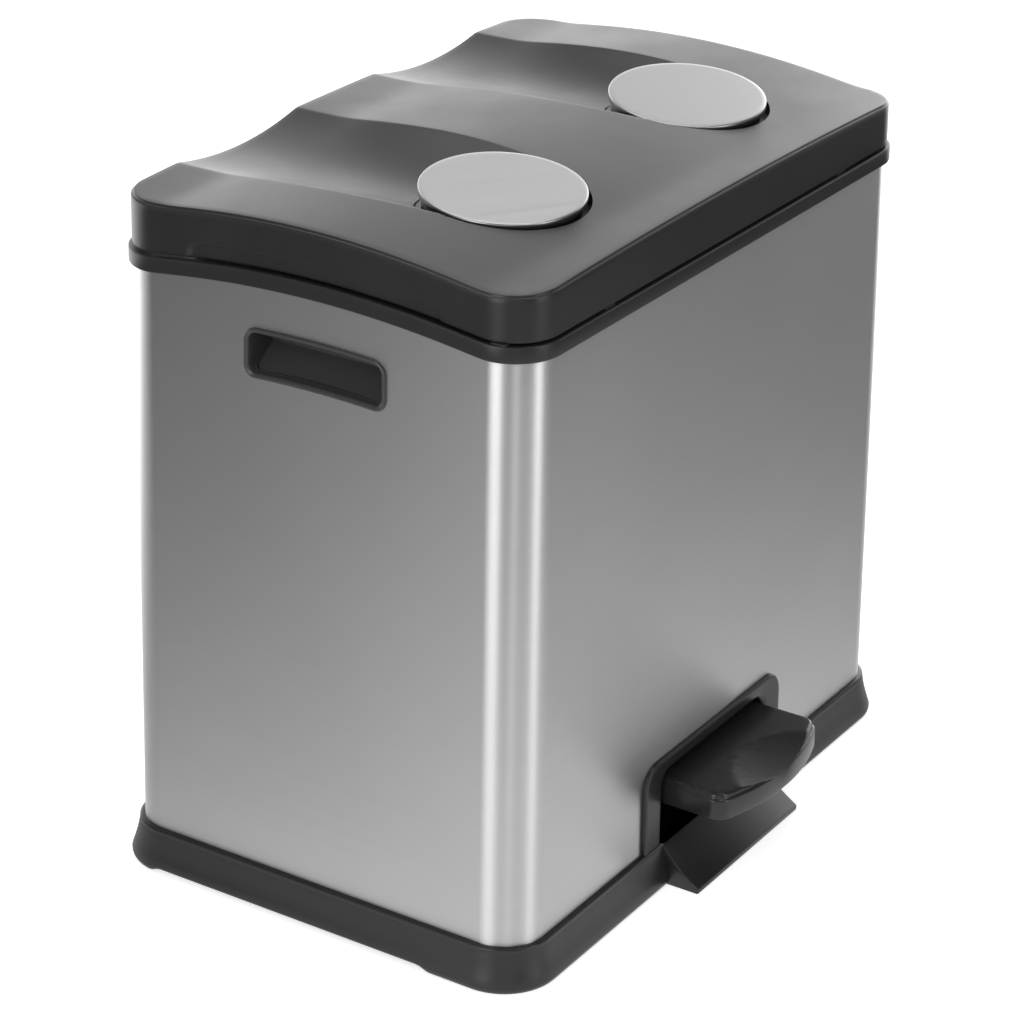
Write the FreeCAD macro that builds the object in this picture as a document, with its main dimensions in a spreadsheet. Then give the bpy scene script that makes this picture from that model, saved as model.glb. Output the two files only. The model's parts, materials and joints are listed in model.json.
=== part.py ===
import FreeCAD, Part

import math
import os

import Sketcher

# Double recycling bin: satin steel shell, black base, collar and lid, two lift-out buckets and
# one pedal that raises the lid through a lever, a push rod and a crank.
# Frame: +Z up, +Y to the rear, X along the front, Z = 0 on the floor, millimetres.
# All sizes below are written about the middle of the shell; every finished piece is then moved
# back by the same amount, which puts the origin under the middle of the whole bin.

SIZES = {
    # steel shell
    "shell_width": 480, "shell_depth": 312, "shell_corner": 30, "shell_wall": 0.8,
    "shell_bottom": 18, "shell_front_top": 427, "arch_half": 126, "arch_rise": 10,
    "fit_gap": 0.15,
    # base
    "base_height": 30, "base_flare": 9.6, "base_top_proud": 3.6, "base_floor": 6,
    "base_rim": 8, "foot_rise": 3, "foot_front": 90, "foot_rear": 128, "pad_side": 22,
    "pad_sink": 2, "pad_play": 0.2,
    # tongue under the pedal
    "tongue_half": 68, "tongue_reach": 32, "tongue_tip": 4, "tongue_top": 28,
    # collar
    "collar_height": 11, "collar_proud": 4, "collar_inner": 12,
    "collar_lip_drop": 6, "collar_cover": 8,
    # lid
    "lid_gap": 1.2, "lid_inset": 2.7, "lid_wall": 2.8, "lid_front": 31, "lid_rise_rear": 4,
    "lid_crown_rise": 12, "lid_flat_front": 34, "lid_flat_rear": 41, "lid_cross_radius": 5800,
    "lid_rear_gap": 3, "lid_rear_band": 12,
    # scoops and discs
    "disc_spread": 115, "disc_place": 56, "disc_radius": 54, "disc_tilt": 6,
    "disc_turn": -34,
    "disc_wall": 1, "disc_rim": 4.5, "disc_lift": 2.8, "boss_radius": 51, "boss_wall": 3,
    "scoop_half": 66, "scoop_rear_depth": 8, "scoop_end_depth": 14, "scoop_well": 58,
    "scoop_end_half": 56,
    # hinge and crank
    "hinge_inset": 3, "hinge_above": 9, "hinge_spread": 150, "knuckle_radius": 5.5,
    "knuckle_length": 16, "ear_length": 6, "hinge_pin_radius": 2.5, "side_play": 0.5,
    "hinge_plate": 2, "hinge_screw_rise": 2, "buffer_half": 6, "buffer_grip": 2,
    "buffer_near": 4, "buffer_far": 14,
    "run_gap": 0.05, "crank_radius": 30, "lid_opening": 78, "crank_wall": 4,
    "crank_near": 4, "crank_bend": 8, "crank_bend_drop": 7, "crank_foot_height": 12,
    "crank_foot_reach": 14, "crank_foot_wall": 3, "crank_screw_side": 8,
    "crank_screw_low": 2.5, "crank_screw_high": 9.5, "crank_screw_bite": 2,
    "link_radius": 3, "link_share": 0.94, "slot_play": 0.5,
    # rod and lever
    "rod_radius": 3, "rod_side": 0.5, "rod_sink": 3, "yoke_play": 1, "yoke_half_width": 10,
    "yoke_half_height": 8,
    "lower_sway": 1, "lever_gap": 3, "lever_hub_land": 2, "axle_end": 1, "head_play": 0.3,
    "lever_place": 60, "lever_height": 46, "lever_wall": 8, "lever_half_width": 10,
    "lever_hub": 9, "lever_pin_radius": 4, "bracket_wall": 4,
    # pedal
    "pedal_half": 66.5, "pedal_top": 76, "pedal_thick": 18, "pedal_rear": 6,
    "pedal_bow_rise": 13, "pedal_corner": 12, "pedal_reach": 58, "lever_reach_front": 46,
    "pedal_wall": 7, "pedal_side": 4, "pedal_round": 4,
    "dish_radius": 55, "dish_depth": 6, "dish_place": 79,
    "pedal_screw_near": 12, "pedal_screw_far": 34, "pedal_screw_bite": 4,
    # pedal surround
    "surround_half": 90, "surround_top": 92, "surround_proud": 3, "surround_leg": 21.5,
    "surround_head": 11, "surround_corner": 16, "surround_inner_corner": 11,
    "surround_gap": 0.1, "sleeve_wall": 3, "sleeve_depth": 28,
    # side handles
    "handle_half": 54, "handle_low": 375, "handle_high": 409, "handle_corner": 9,
    "handle_bead": 4.5, "handle_proud": 2, "handle_depth": 24, "handle_wall": 2.5,
    "handle_lip": 4,
    # inside
    "deck_top": 99, "deck_wall": 3, "deck_play": 3, "bucket_side_gap": 32,
    "bucket_front_gap": 19, "bucket_rear_gap": 51, "bucket_middle": 8, "bucket_rim_top": 416,
    "bucket_wall": 2, "bucket_corner": 25, "bucket_rim": 5, "bucket_rim_height": 6,
    "cover_half": 26, "cover_reach": 44, "cover_wall": 2, "cover_top": 416,
    "guide_low": 130, "guide_high": 400, "guide_height": 8,
    "damper_offset": 13, "damper_inset": 14, "damper_radius": 8, "damper_wall": 1.5,
    "damper_low": 150, "damper_high": 280, "damper_rod_radius": 2.5, "arm_place": 326,
    "arm_height": 8, "arm_land": 5, "piston_height": 6,
    # screws
    "screw_radius": 1.6, "screw_head_radius": 3.2, "screw_head": 2,
    # how far cutting shapes run past the piece they cut
    "cut_over": 1, "cut_margin": 40,
}

doc = FreeCAD.newDocument("double_recycling_bin")
sheet = doc.addObject("Spreadsheet::Sheet", "sizes")
for row, (alias, number) in enumerate(SIZES.items(), start=1):
    sheet.set(f"A{row}", alias)
    sheet.set(f"B{row}", str(number))
    sheet.setAlias(f"B{row}", alias)
doc.recompute()


class Size:
    """A length or angle with the spreadsheet expression that it comes from."""

    def __init__(self, value, text):
        self.value = value
        self.text = text

    def __add__(self, other):
        other = sized(other)
        return Size(self.value + other.value, f"({self.text} + {other.text})")

    def __sub__(self, other):
        other = sized(other)
        return Size(self.value - other.value, f"({self.text} - {other.text})")

    def __mul__(self, other):
        other = sized(other)
        return Size(self.value * other.value, f"({self.text} * {other.text})")

    def __truediv__(self, other):
        other = sized(other)
        return Size(self.value / other.value, f"({self.text} / {other.text})")

    def __neg__(self):
        return Size(-self.value, f"(0 - {self.text})")

    def __radd__(self, other):
        return sized(other) + self

    def __rsub__(self, other):
        return sized(other) - self

    def __rmul__(self, other):
        return sized(other) * self


def sized(number):
    if isinstance(number, Size):
        return number
    return Size(float(number), repr(float(number)))


def root(size):
    return Size(math.sqrt(size.value), f"sqrt({size.text})")


def sine(angle):
    return Size(math.sin(math.radians(angle.value)), f"sin({angle.text} * 1 deg)")


def cosine(angle):
    return Size(math.cos(math.radians(angle.value)), f"cos({angle.text} * 1 deg)")


def arc_radius(half_chord, rise):
    return (half_chord * half_chord + rise * rise) / (2 * rise)


class Sizes:
    """Gives each cell of the sheet as a Size."""

    def __getattr__(self, alias):
        return Size(float(sheet.get(alias)), f"sizes.{alias}")


S = Sizes()
ZERO = sized(0)

# Helpers: sketches, bodies, primitives and booleans whose sizes are bound to the sheet.

PLANE_ROLE = {"xy": "XY_Plane", "xz": "XZ_Plane", "yz": "YZ_Plane"}
AXIS_VECTOR = {
    "x": FreeCAD.Vector(1, 0, 0),
    "y": FreeCAD.Vector(0, 1, 0),
    "z": FreeCAD.Vector(0, 0, 1),
}


def bind(item, path, size):
    item.setExpression(path, sized(size).text)


def bow_edge(start, end, radius, side):
    """Returns an arc between two points, and whether it runs from the first one."""
    across = end - start
    middle = (start + end) / 2
    lift = math.sqrt(radius ** 2 - (across.Length / 2) ** 2)
    normal = FreeCAD.Vector(-across.y, across.x, 0) / across.Length
    centre = middle + normal * lift * side
    first, last = (start, end) if side > 0 else (end, start)
    first_angle = math.atan2(first.y - centre.y, first.x - centre.x)
    last_angle = math.atan2(last.y - centre.y, last.x - centre.x)
    circle = Part.Circle(centre, AXIS_VECTOR["z"], radius)
    return Part.ArcOfCircle(circle, first_angle, last_angle), side > 0


def place_sketch(owner, name, plane, offset, drop):
    sketch = owner.newObject("Sketcher::SketchObject", name)
    role = PLANE_ROLE[plane]
    support = next(item for item in owner.Origin.OriginFeatures if item.Role == role)
    sketch.AttachmentSupport = [(support, "")]
    sketch.MapMode = "FlatFace"
    bind(sketch, "AttachmentOffset.Base.z", offset)
    bind(sketch, "AttachmentOffset.Base.y", drop)
    return sketch


def fix(sketch, constraint, size):
    index = sketch.addConstraint(constraint)
    sketch.setExpression(f"Constraints[{index}]", size.text)


def draw(owner, name, plane, outline, offset=0, arcs=None, drop=0):
    """Adds a closed outline. arcs gives, for the edge after a point, its radius and side."""
    arcs = arcs or {}
    sketch = place_sketch(owner, name, plane, offset, drop)
    outline = [(sized(across), sized(up)) for across, up in outline]
    points = [FreeCAD.Vector(across.value, up.value, 0) for across, up in outline]
    ends = []
    for number, start in enumerate(points):
        end = points[(number + 1) % len(points)]
        forward = True
        edge = Part.LineSegment(start, end)
        if number in arcs:
            radius, side = arcs[number]
            edge, forward = bow_edge(start, end, radius.value, side)
        place = sketch.addGeometry(edge, False)
        ends.append((place, 1, 2) if forward else (place, 2, 1))
    for number, (place, first, last) in enumerate(ends):
        after, after_first, _ = ends[(number + 1) % len(ends)]
        sketch.addConstraint(Sketcher.Constraint("Coincident", place, last, after, after_first))
    for (across, up), (place, first, _) in zip(outline, ends):
        fix(sketch, Sketcher.Constraint("DistanceX", -1, 1, place, first, across.value), across)
        fix(sketch, Sketcher.Constraint("DistanceY", -1, 1, place, first, up.value), up)
    for number, (radius, _) in arcs.items():
        fix(sketch, Sketcher.Constraint("Radius", ends[number][0], radius.value), radius)
    return sketch


def body(name):
    return doc.addObject("PartDesign::Body", name)


def pad(owner, profile, length):
    feature = owner.newObject("PartDesign::Pad", profile.Name + "_pad")
    feature.Profile = profile
    bind(feature, "Length", length)
    return feature


def prism(name, plane, outline, low, high, arcs=None):
    """A straight solid on an outline, between two places along the plane's normal."""
    owner = body(name)
    start = -sized(high) if plane == "xz" else low
    profile = draw(owner, name + "_outline", plane, outline, start, arcs)
    pad(owner, profile, sized(high) - low)
    return owner


def rounded(half, front, rear, corner, middle=0):
    """The outline and arcs of a rounded rectangle, walked anticlockwise."""
    left = sized(middle) - half
    right = sized(middle) + half
    outline = [
        (left + corner, front), (right - corner, front), (right, sized(front) + corner),
        (right, sized(rear) - corner), (right - corner, rear), (left + corner, rear),
        (left, sized(rear) - corner), (left, sized(front) + corner),
    ]
    return outline, {number: (sized(corner), 1) for number in (1, 3, 5, 7)}


def box(name, x_span, y_span, z_span):
    item = doc.addObject("Part::Box", name)
    sides = zip(("Length", "Width", "Height"), ("x", "y", "z"), (x_span, y_span, z_span))
    for side, axis, (low, high) in sides:
        bind(item, side, sized(high) - low)
        bind(item, "Placement.Base." + axis, low)
    return item


def cylinder(name, axis, radius, span, **centre):
    """A cylinder along an axis; centre gives its place on the other two axes."""
    item = doc.addObject("Part::Cylinder", name)
    turn = FreeCAD.Rotation(AXIS_VECTOR["z"], AXIS_VECTOR[axis])
    item.Placement = FreeCAD.Placement(FreeCAD.Vector(), turn)
    bind(item, "Radius", radius)
    bind(item, "Height", sized(span[1]) - span[0])
    bind(item, "Placement.Base." + axis, span[0])
    for other, place in centre.items():
        bind(item, "Placement.Base." + other, place)
    return item


def fuse(name, *pieces):
    item = doc.addObject("Part::MultiFuse", name)
    item.Shapes = list(pieces)
    return item


def common(name, *pieces):
    item = doc.addObject("Part::MultiCommon", name)
    item.Shapes = list(pieces)
    return item


def cut(name, base, *tools):
    item = doc.addObject("Part::Cut", name)
    item.Base = base
    item.Tool = tools[0] if len(tools) == 1 else fuse(name + "_tools", *tools)
    return item


def carved(base, tools):
    """The base's shape with the tools' shapes taken away one after another."""
    shape = base.Shape
    for tool in tools:
        shape = shape.cut(tool.Shape)
    return shape


def group(name, *pieces):
    item = doc.addObject("Part::Compound", name)
    item.Links = list(pieces)
    return item


NODES = []


def finish(item, label):
    """Names a finished piece and moves it from the shell's middle to the bin's."""
    item.Label = label
    bind(item, "Placement.Base.y", shell_place)
    NODES.append(item)


# Shared places, worked out from the driving sizes.

half_width = S.shell_width / 2
half_depth = S.shell_depth / 2
shell_place = (S.pedal_reach - S.base_flare) / 2
arch_radius = arc_radius(S.arch_half, S.arch_rise)
collar_top = S.shell_front_top + S.collar_height
beyond_x = half_width + S.cut_margin
beyond_y = half_depth + S.cut_margin
above_all = collar_top + 3 * S.cut_margin
below_collar = S.shell_front_top - 2 * S.collar_height

hinge_y = half_depth - S.hinge_inset
hinge_z = collar_top + S.hinge_above
half_swing = S.lid_opening / 2
rod_x = -S.rod_side
rod_y = hinge_y - S.crank_radius * (1 + cosine(half_swing)) / 2
crank_pin_y = hinge_y - S.crank_radius * cosine(half_swing)
crank_pin_z = hinge_z - S.crank_radius * sine(half_swing)
rod_travel = S.link_share * S.crank_radius * S.lid_opening * (math.pi / 180)
yoke_upper_z = hinge_z - rod_travel / 2
lever_pin_z = S.lever_height - rod_travel / 2
lever_hub_half = S.lever_half_width + S.lever_hub_land
lever_top_z = S.pedal_top - S.pedal_wall
lever_front_y = -half_depth - S.lever_reach_front

lid_half = half_width + S.collar_proud - S.lid_inset
lid_depth = half_depth + S.collar_proud - S.lid_inset
lid_corner = S.shell_corner + S.collar_proud - S.lid_inset
cross_drop = lid_half * lid_half / (2 * S.lid_cross_radius)
lid_front_z = collar_top + S.lid_front + cross_drop
lid_rear_z = lid_front_z + S.lid_rise_rear
lid_crown_z = lid_front_z + S.lid_crown_rise
lid_bend_front = S.lid_flat_front - half_depth
lid_bend_rear = half_depth - S.lid_flat_rear
skirt_inner_y = lid_depth - S.lid_wall
crank_foot_z = hinge_z + S.knuckle_radius
crank_head_z = crank_foot_z + S.crank_foot_height

bucket_front = half_depth - S.bucket_front_gap
bucket_rear = half_depth - S.bucket_rear_gap
bucket_width = half_width - S.bucket_side_gap - S.bucket_middle
cover_front = half_depth - S.cover_reach
damper_y = half_depth - S.damper_inset


def shell_outline(inset):
    """The shell's rounded outline, moved in by an inset, or out by a negative one."""
    half = half_width - inset
    depth = half_depth - inset
    return rounded(half, -depth, depth, S.shell_corner - inset)


def shell_prism(name, inset, low, high):
    outline, arcs = shell_outline(inset)
    return prism(name, "xy", outline, low, high, arcs)


def above_arch(name, level):
    """Everything above the arched line that the shell, the collar and the lid follow."""
    outline = [
        (-beyond_y, level), (-S.arch_half, level), (S.arch_half, level), (beyond_y, level),
        (beyond_y, above_all), (-beyond_y, above_all),
    ]
    return prism(name, "yz", outline, -beyond_x, beyond_x, {1: (arch_radius, -1)})


def below_arch(name, level):
    outline = [
        (-beyond_y, 0), (beyond_y, 0), (beyond_y, level), (S.arch_half, level),
        (-S.arch_half, level), (-beyond_y, level),
    ]
    return prism(name, "yz", outline, -beyond_x, beyond_x, {3: (arch_radius, 1)})


def outward(side, near, far):
    """A span at a distance from the middle plane, on the left (-1) or the right (+1)."""
    if side > 0:
        return (sized(near), sized(far))
    return (-sized(far), -sized(near))


# The bin: base, pads, shell, collar, pedal surround and side handles.

def make_base():
    outline, arcs = shell_outline(-S.base_flare)
    block = body("base_block")
    profile = draw(block, "base_block_outline", "xy", outline, 0, arcs)
    grow = pad(block, profile, S.base_height)
    lean = (S.base_flare - S.base_top_proud) / S.base_height
    grow.setExpression("TaperAngle", f"-1 * atan({lean.text})")
    hollow = shell_prism("base_hollow", S.base_rim, S.base_floor, S.base_height + S.cut_over)
    seat_outer = shell_prism("base_seat_outer", -S.fit_gap, S.shell_bottom, S.base_height + S.cut_over)
    seat_inner = shell_prism(
        "base_seat_inner", S.shell_wall + S.fit_gap, S.shell_bottom - S.cut_over,
        S.base_height + 2 * S.cut_over)
    seat = cut("base_seat", seat_outer, seat_inner)
    arch = box("base_foot_arch", (-beyond_x, beyond_x), (-S.foot_front, S.foot_rear),
               (-S.cut_over, S.foot_rise))
    mouth = box("base_mouth", (-S.tongue_half, S.tongue_half),
                (-beyond_y, S.base_rim - half_depth), (S.base_floor, S.base_height + S.cut_over))
    tray = cut("base_tray_shell", block, hollow, seat, arch, mouth,
               *pad_discs("base", S.pad_play))
    tongue_back = -half_depth + S.base_rim
    tongue_foot = -half_depth - S.tongue_reach
    tongue_ledge = -half_depth - S.base_top_proud
    outline = [
        (tongue_back, 0), (tongue_back, S.tongue_top), (tongue_ledge, S.tongue_top),
        (tongue_foot, S.tongue_tip), (tongue_foot, 0),
    ]
    curve = {2: (3 * S.tongue_reach, -1)}
    tongue = prism("base_tongue", "yz", outline, -S.tongue_half, S.tongue_half, curve)
    finish(fuse("base", tray, tongue), "base_tray")


def pad_discs(name, play):
    places = [(side, depth) for side in (-1, 1) for depth in (-1, 1)]
    discs = []
    for number, (side, depth) in enumerate(places):
        centre_x = side * (half_width - S.pad_side)
        centre_y = depth * (half_depth - S.pad_side) if depth < 0 else half_depth - S.pad_side / 2
        discs.append(cylinder(f"{name}_pad_{number}", "z", S.pad_side / 2 + play,
                              (-play, S.pad_sink + play / 4), x=centre_x, y=centre_y))
    return discs


def make_pads():
    finish(group("pads", *pad_discs("pads", 0)), "foot_pads")


def handle_prism(name, side, grow, near, far):
    """A side handle's rounded outline, grown on all sides."""
    half = S.handle_half + grow
    low = S.handle_low - grow
    high = S.handle_high + grow
    corner = S.handle_corner + grow
    outline = [
        (corner - half, low), (half - corner, low), (half, low + corner),
        (half, high - corner), (half - corner, high), (corner - half, high),
        (-half, high - corner), (-half, low + corner),
    ]
    arcs = {number: (corner, 1) for number in (1, 3, 5, 7)}
    low_x, high_x = outward(side, near, far)
    return prism(name, "yz", outline, low_x, high_x, arcs)


def make_shell():
    tube = cut("shell_tube", shell_prism("shell_outer", 0, S.shell_bottom, above_all),
               shell_prism("shell_inner", S.shell_wall, S.shell_bottom - S.cut_over,
                           above_all + S.cut_over))
    trim = above_arch("shell_trim", S.shell_front_top + S.collar_cover)
    doorway_half = S.surround_half - S.handle_bead
    doorway = box("shell_doorway", (-doorway_half, doorway_half),
                  (-beyond_y, S.shell_corner - half_depth),
                  (0, S.surround_top - S.handle_bead))
    grips = []
    for side in (-1, 1):
        grips.append(handle_prism(f"shell_grip_{side + 1}", side,
                                  S.fit_gap + S.handle_wall - S.handle_bead,
                                  half_width - S.handle_depth, half_width + S.handle_depth))
    finish(cut("shell", tube, trim, doorway, *grips), "steel_shell")


def make_collar():
    band = cut("collar_band_ring",
               shell_prism("collar_outer", -S.collar_proud, below_collar, above_all),
               shell_prism("collar_inner", S.collar_inner, below_collar - S.cut_over,
                           above_all + S.cut_over))
    band = cut("collar_band", band, above_arch("collar_over", collar_top),
               below_arch("collar_under", S.shell_front_top))
    lip_outer = S.shell_wall + S.fit_gap
    lip = cut("collar_lip_ring",
              shell_prism("collar_lip_outer", lip_outer, below_collar, above_all),
              shell_prism("collar_lip_inner", S.collar_inner, below_collar - S.cut_over,
                          above_all + S.cut_over))
    lip = cut("collar_lip_band", lip, above_arch("collar_lip_over", S.shell_front_top + S.cut_over),
              below_arch("collar_lip_under", S.shell_front_top - S.collar_lip_drop))
    groove = cut("collar_groove_ring",
                 shell_prism("collar_groove_outer", -S.fit_gap, below_collar, above_all),
                 shell_prism("collar_groove_inner", lip_outer,
                             below_collar - S.cut_over, above_all + S.cut_over))
    groove = cut("collar_groove", groove,
                 above_arch("collar_groove_over",
                            S.shell_front_top + S.collar_cover + S.fit_gap))
    whole = fuse("collar_whole", band, lip)
    finish(cut("collar", whole, groove, *collar_holes()), "rim_collar")


def collar_holes():
    left = hinge_shanks("collar_hole_left", -1, S.run_gap, 0)
    return left + hinge_shanks("collar_hole_right", 1, S.run_gap, 0)


def arch_frame(name, half, top, corner, low, front, rear):
    """A solid with a flat foot and two rounded top corners, standing across Y."""
    outline = [
        (-half, low), (half, low), (half, top - corner), (half - corner, top),
        (corner - half, top), (-half, top - corner),
    ]
    arcs = {number: (corner, 1) for number in (2, 4)}
    return prism(name, "xz", outline, front, rear, arcs)


def make_surround():
    low = S.base_height + S.surround_gap
    face = -half_depth - S.fit_gap
    opening = S.surround_half - S.surround_leg
    head = S.surround_top - S.surround_head
    back = S.sleeve_depth - half_depth
    inner_corner = S.surround_inner_corner
    flange = arch_frame("surround_flange", S.surround_half, S.surround_top,
                        S.surround_corner, low, face - S.surround_proud, face)
    sleeve = arch_frame("surround_sleeve", opening + S.sleeve_wall, head + S.sleeve_wall,
                        inner_corner + S.sleeve_wall, low, face - S.cut_over, back)
    hole = arch_frame("surround_hole", opening, head, inner_corner, low - S.cut_over,
                      face - S.surround_proud - S.cut_over, back + S.cut_over)
    whole = fuse("surround_whole", flange, sleeve)
    finish(cut("surround", whole, hole), "pedal_surround")


def handle_profile(name, side, grow, reach):
    """The handle's cup from the front: deep at the top, with a floor that slopes out."""
    low = S.handle_low + S.handle_bead - grow
    high = S.handle_high - S.handle_bead + grow
    middle = (S.handle_low + S.handle_high) / 2 - grow / 2
    mouth = half_width + reach
    back = half_width - S.handle_depth - grow
    toe = half_width - S.handle_lip - grow / 2
    outline = [(side * mouth, low), (side * mouth, high), (side * back, high),
               (side * back, middle), (side * toe, low)]
    reach_y = S.handle_half + S.cut_over
    return prism(name, "xz", outline, -reach_y, reach_y)


def make_handle(side, label):
    face = half_width + S.fit_gap
    bead = handle_prism(label + "_bead", side, ZERO, face, face + S.handle_proud)
    inner_grow = -S.handle_bead
    cup = common(label + "_cup",
                 handle_prism(label + "_cup_block", side, S.handle_wall - S.handle_bead,
                              half_width - 2 * S.handle_depth, face + S.cut_over),
                 handle_profile(label + "_cup_side", side, S.handle_wall,
                                S.cut_over + S.fit_gap))
    hollow = common(label + "_hollow",
                    handle_prism(label + "_hollow_block", side, inner_grow,
                                 half_width - 2 * S.handle_depth, face + S.handle_depth),
                    handle_profile(label + "_hollow_side", side, ZERO, S.handle_depth))
    whole = fuse(label + "_whole", bead, cup)
    finish(cut(label + "_cut", whole, hollow), label)


# Inside the bin: the deck, the rod's cover and guides, the damper and the lever's bearing.

def make_deck():
    outer = S.shell_wall + S.deck_play
    block = shell_prism("deck_outer", outer, S.base_height, S.deck_top)
    hollow = shell_prism("deck_inner", outer + S.deck_wall, S.base_height - S.cut_over,
                         S.deck_top - S.deck_wall)
    sleeve_half = S.surround_half - S.surround_leg + S.sleeve_wall + S.side_play
    sleeve_top = S.surround_top - S.surround_head + S.sleeve_wall + S.side_play
    doorway = box("deck_doorway", (-sleeve_half, sleeve_half),
                  (-beyond_y, S.sleeve_depth - half_depth + S.side_play), (0, sleeve_top))
    bore = cylinder("deck_bore", "z", 1.5 * S.rod_radius, (0, S.deck_top + S.cut_over),
                    x=rod_x, y=rod_y)
    rib = box("deck_rib", (-S.deck_wall, S.deck_wall),
              (-bucket_front, bucket_rear), (S.deck_top, S.deck_top + 3 * S.deck_wall))
    finish(fuse("deck", cut("deck_tray", block, hollow, doorway, bore), rib), "inner_deck")


def make_cover():
    rear = half_depth - S.shell_wall - S.fit_gap
    span = (S.deck_top, S.cover_top)
    block = box("cover_block", (-S.cover_half, S.cover_half), (cover_front, rear), span)
    inner_half = S.cover_half - S.cover_wall
    hollow = box("cover_hollow", (-inner_half, inner_half),
                 (cover_front + S.cover_wall, rear + S.cut_over),
                 (S.deck_top - S.cut_over, S.cover_top + S.cut_over))
    finish(cut("cover", block, hollow), "rod_cover")


def make_guides():
    inner_half = S.cover_half - S.cover_wall
    guides = []
    for number, low in enumerate((S.guide_low, S.guide_high)):
        block = box(f"guide_block_{number}", (-inner_half, inner_half),
                    (cover_front + S.cover_wall, rod_y + 2.5 * S.rod_radius),
                    (low, low + S.guide_height))
        bore = cylinder(f"guide_bore_{number}", "z", S.rod_radius + S.run_gap,
                        (low - S.cut_over, low + S.guide_height + S.cut_over),
                        x=rod_x, y=rod_y)
        guides.append(cut(f"guide_{number}", block, bore))
    finish(group("guides", *guides), "rod_guides")


def make_damper():
    centre = {"x": S.damper_offset, "y": damper_y}
    wall = S.damper_wall
    tube = cylinder("damper_tube", "z", S.damper_radius, (S.damper_low, S.damper_high), **centre)
    hollow = cylinder("damper_hollow", "z", S.damper_radius - wall,
                      (S.damper_low + wall, S.damper_high - wall), **centre)
    neck = cylinder("damper_neck", "z", S.damper_rod_radius + S.run_gap,
                    (S.damper_high - 2 * wall, S.damper_high + S.cut_over), **centre)
    finish(cut("damper", tube, hollow, neck), "damper_cylinder")
    strap_low = S.damper_low + S.damper_radius
    strap = box("strap_block", (S.damper_offset - wall, S.cover_half - S.cover_wall),
                (damper_y - S.damper_radius - 2 * wall, damper_y + S.damper_radius + 2 * wall),
                (strap_low, strap_low + S.damper_radius))
    seat = cylinder("strap_seat", "z", S.damper_radius,
                    (strap_low - S.cut_over, strap_low + S.damper_radius + S.cut_over), **centre)
    finish(cut("strap", strap, seat), "damper_strap")


def make_lever_bearing():
    inner = lever_hub_half + S.side_play
    outer = inner + S.bracket_wall
    pivot_y = -S.lever_place
    cheeks = []
    for side in (-1, 1):
        name = f"bearing_{side + 1}"
        cheek = box(name + "_cheek", outward(side, inner, outer),
                    (pivot_y - S.lever_hub, pivot_y + S.lever_hub),
                    (S.base_floor, S.lever_height + S.lever_hub))
        foot = box(name + "_foot", outward(side, outer, outer + 2 * S.bracket_wall),
                   (pivot_y - S.lever_hub, pivot_y + S.lever_hub),
                   (S.base_floor, S.base_floor + S.bracket_wall))
        bore = cylinder(name + "_bore", "x", S.lever_pin_radius + S.run_gap,
                        outward(side, inner - S.cut_over, outer + S.cut_over), y=pivot_y,
                        z=S.lever_height)
        cheeks.append(cut(name, fuse(name + "_plate", cheek, foot), bore))
    finish(group("bearing", *cheeks), "lever_brackets")
    shaft = cylinder("axle_shaft", "x", S.lever_pin_radius,
                     (-outer - S.axle_end, outer + S.axle_end), y=pivot_y, z=S.lever_height)
    head = cylinder("axle_head", "x", 1.5 * S.lever_pin_radius,
                    (outer + S.head_play, outer + 2 * S.axle_end), y=pivot_y,
                    z=S.lever_height)
    finish(fuse("axle", shaft, head), "lever_axle")


# The hinge: brackets on the collar, pins, and the screws that hold the brackets.

def make_hinge():
    brackets = []
    pins = []
    for side in (-1, 1):
        name = f"hinge_{side + 1}"
        middle = side * S.hinge_spread
        half = S.knuckle_length / 2
        plate_half = half + S.side_play + S.ear_length + 2.5 * S.screw_head_radius
        rear = hinge_y + S.knuckle_radius - S.side_play
        plate = box(name + "_plate", (middle - plate_half, middle + plate_half),
                    (half_depth - S.collar_inner, rear),
                    (collar_top, collar_top + S.hinge_plate))
        post = box(name + "_post", (middle - half, middle + half),
                   (hinge_y - S.knuckle_radius, rear), (collar_top, hinge_z))
        knuckle = cylinder(name + "_knuckle", "x", S.knuckle_radius,
                           (middle - half, middle + half), y=hinge_y, z=hinge_z)
        bore = cylinder(name + "_bore", "x", S.hinge_pin_radius + S.run_gap,
                        (middle - plate_half, middle + plate_half), y=hinge_y, z=hinge_z)
        holes = hinge_shanks(name + "_hole", side, S.run_gap, 0)
        whole = fuse(name + "_whole", plate, post, knuckle)
        brackets.append(cut(name, whole, bore, *holes))
        pin_half = half + S.side_play + S.ear_length
        pins.append(cylinder(name + "_pin", "x", S.hinge_pin_radius,
                             (middle - pin_half, middle + pin_half), y=hinge_y, z=hinge_z))
    finish(group("hinge_bracket_pair", *brackets), "hinge_brackets")
    finish(group("hinge_pin_pair", *pins), "hinge_pins")
    screws = []
    for side in (-1, 1):
        shanks = hinge_shanks(f"hinge_screw_{side + 1}", side, ZERO, 0)
        heads = hinge_shanks(f"hinge_head_{side + 1}", side, S.screw_head_radius
                             - S.screw_radius, 1)
        for number, (shank, head) in enumerate(zip(shanks, heads)):
            screws.append(fuse(f"hinge_screw_whole_{side + 1}_{number}", shank, head))
    finish(group("hinge_screw_set", *screws), "hinge_screws")


def hinge_shanks(name, side, grow, is_head):
    """The two upright cylinders, shanks or heads, of one hinge bracket's screws."""
    reach = S.knuckle_length / 2 + S.side_play + S.ear_length + 1.4 * S.screw_head_radius
    seat = collar_top + S.hinge_plate
    tip = S.shell_front_top + S.hinge_screw_rise - grow
    span = (seat, seat + S.screw_head) if is_head else (tip, seat)
    return [
        cylinder(f"{name}_{shift + 1}", "z", S.screw_radius + grow, span,
                 x=side * S.hinge_spread + shift * reach, y=hinge_y - S.screw_radius)
        for shift in (-1, 1)
    ]


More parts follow.
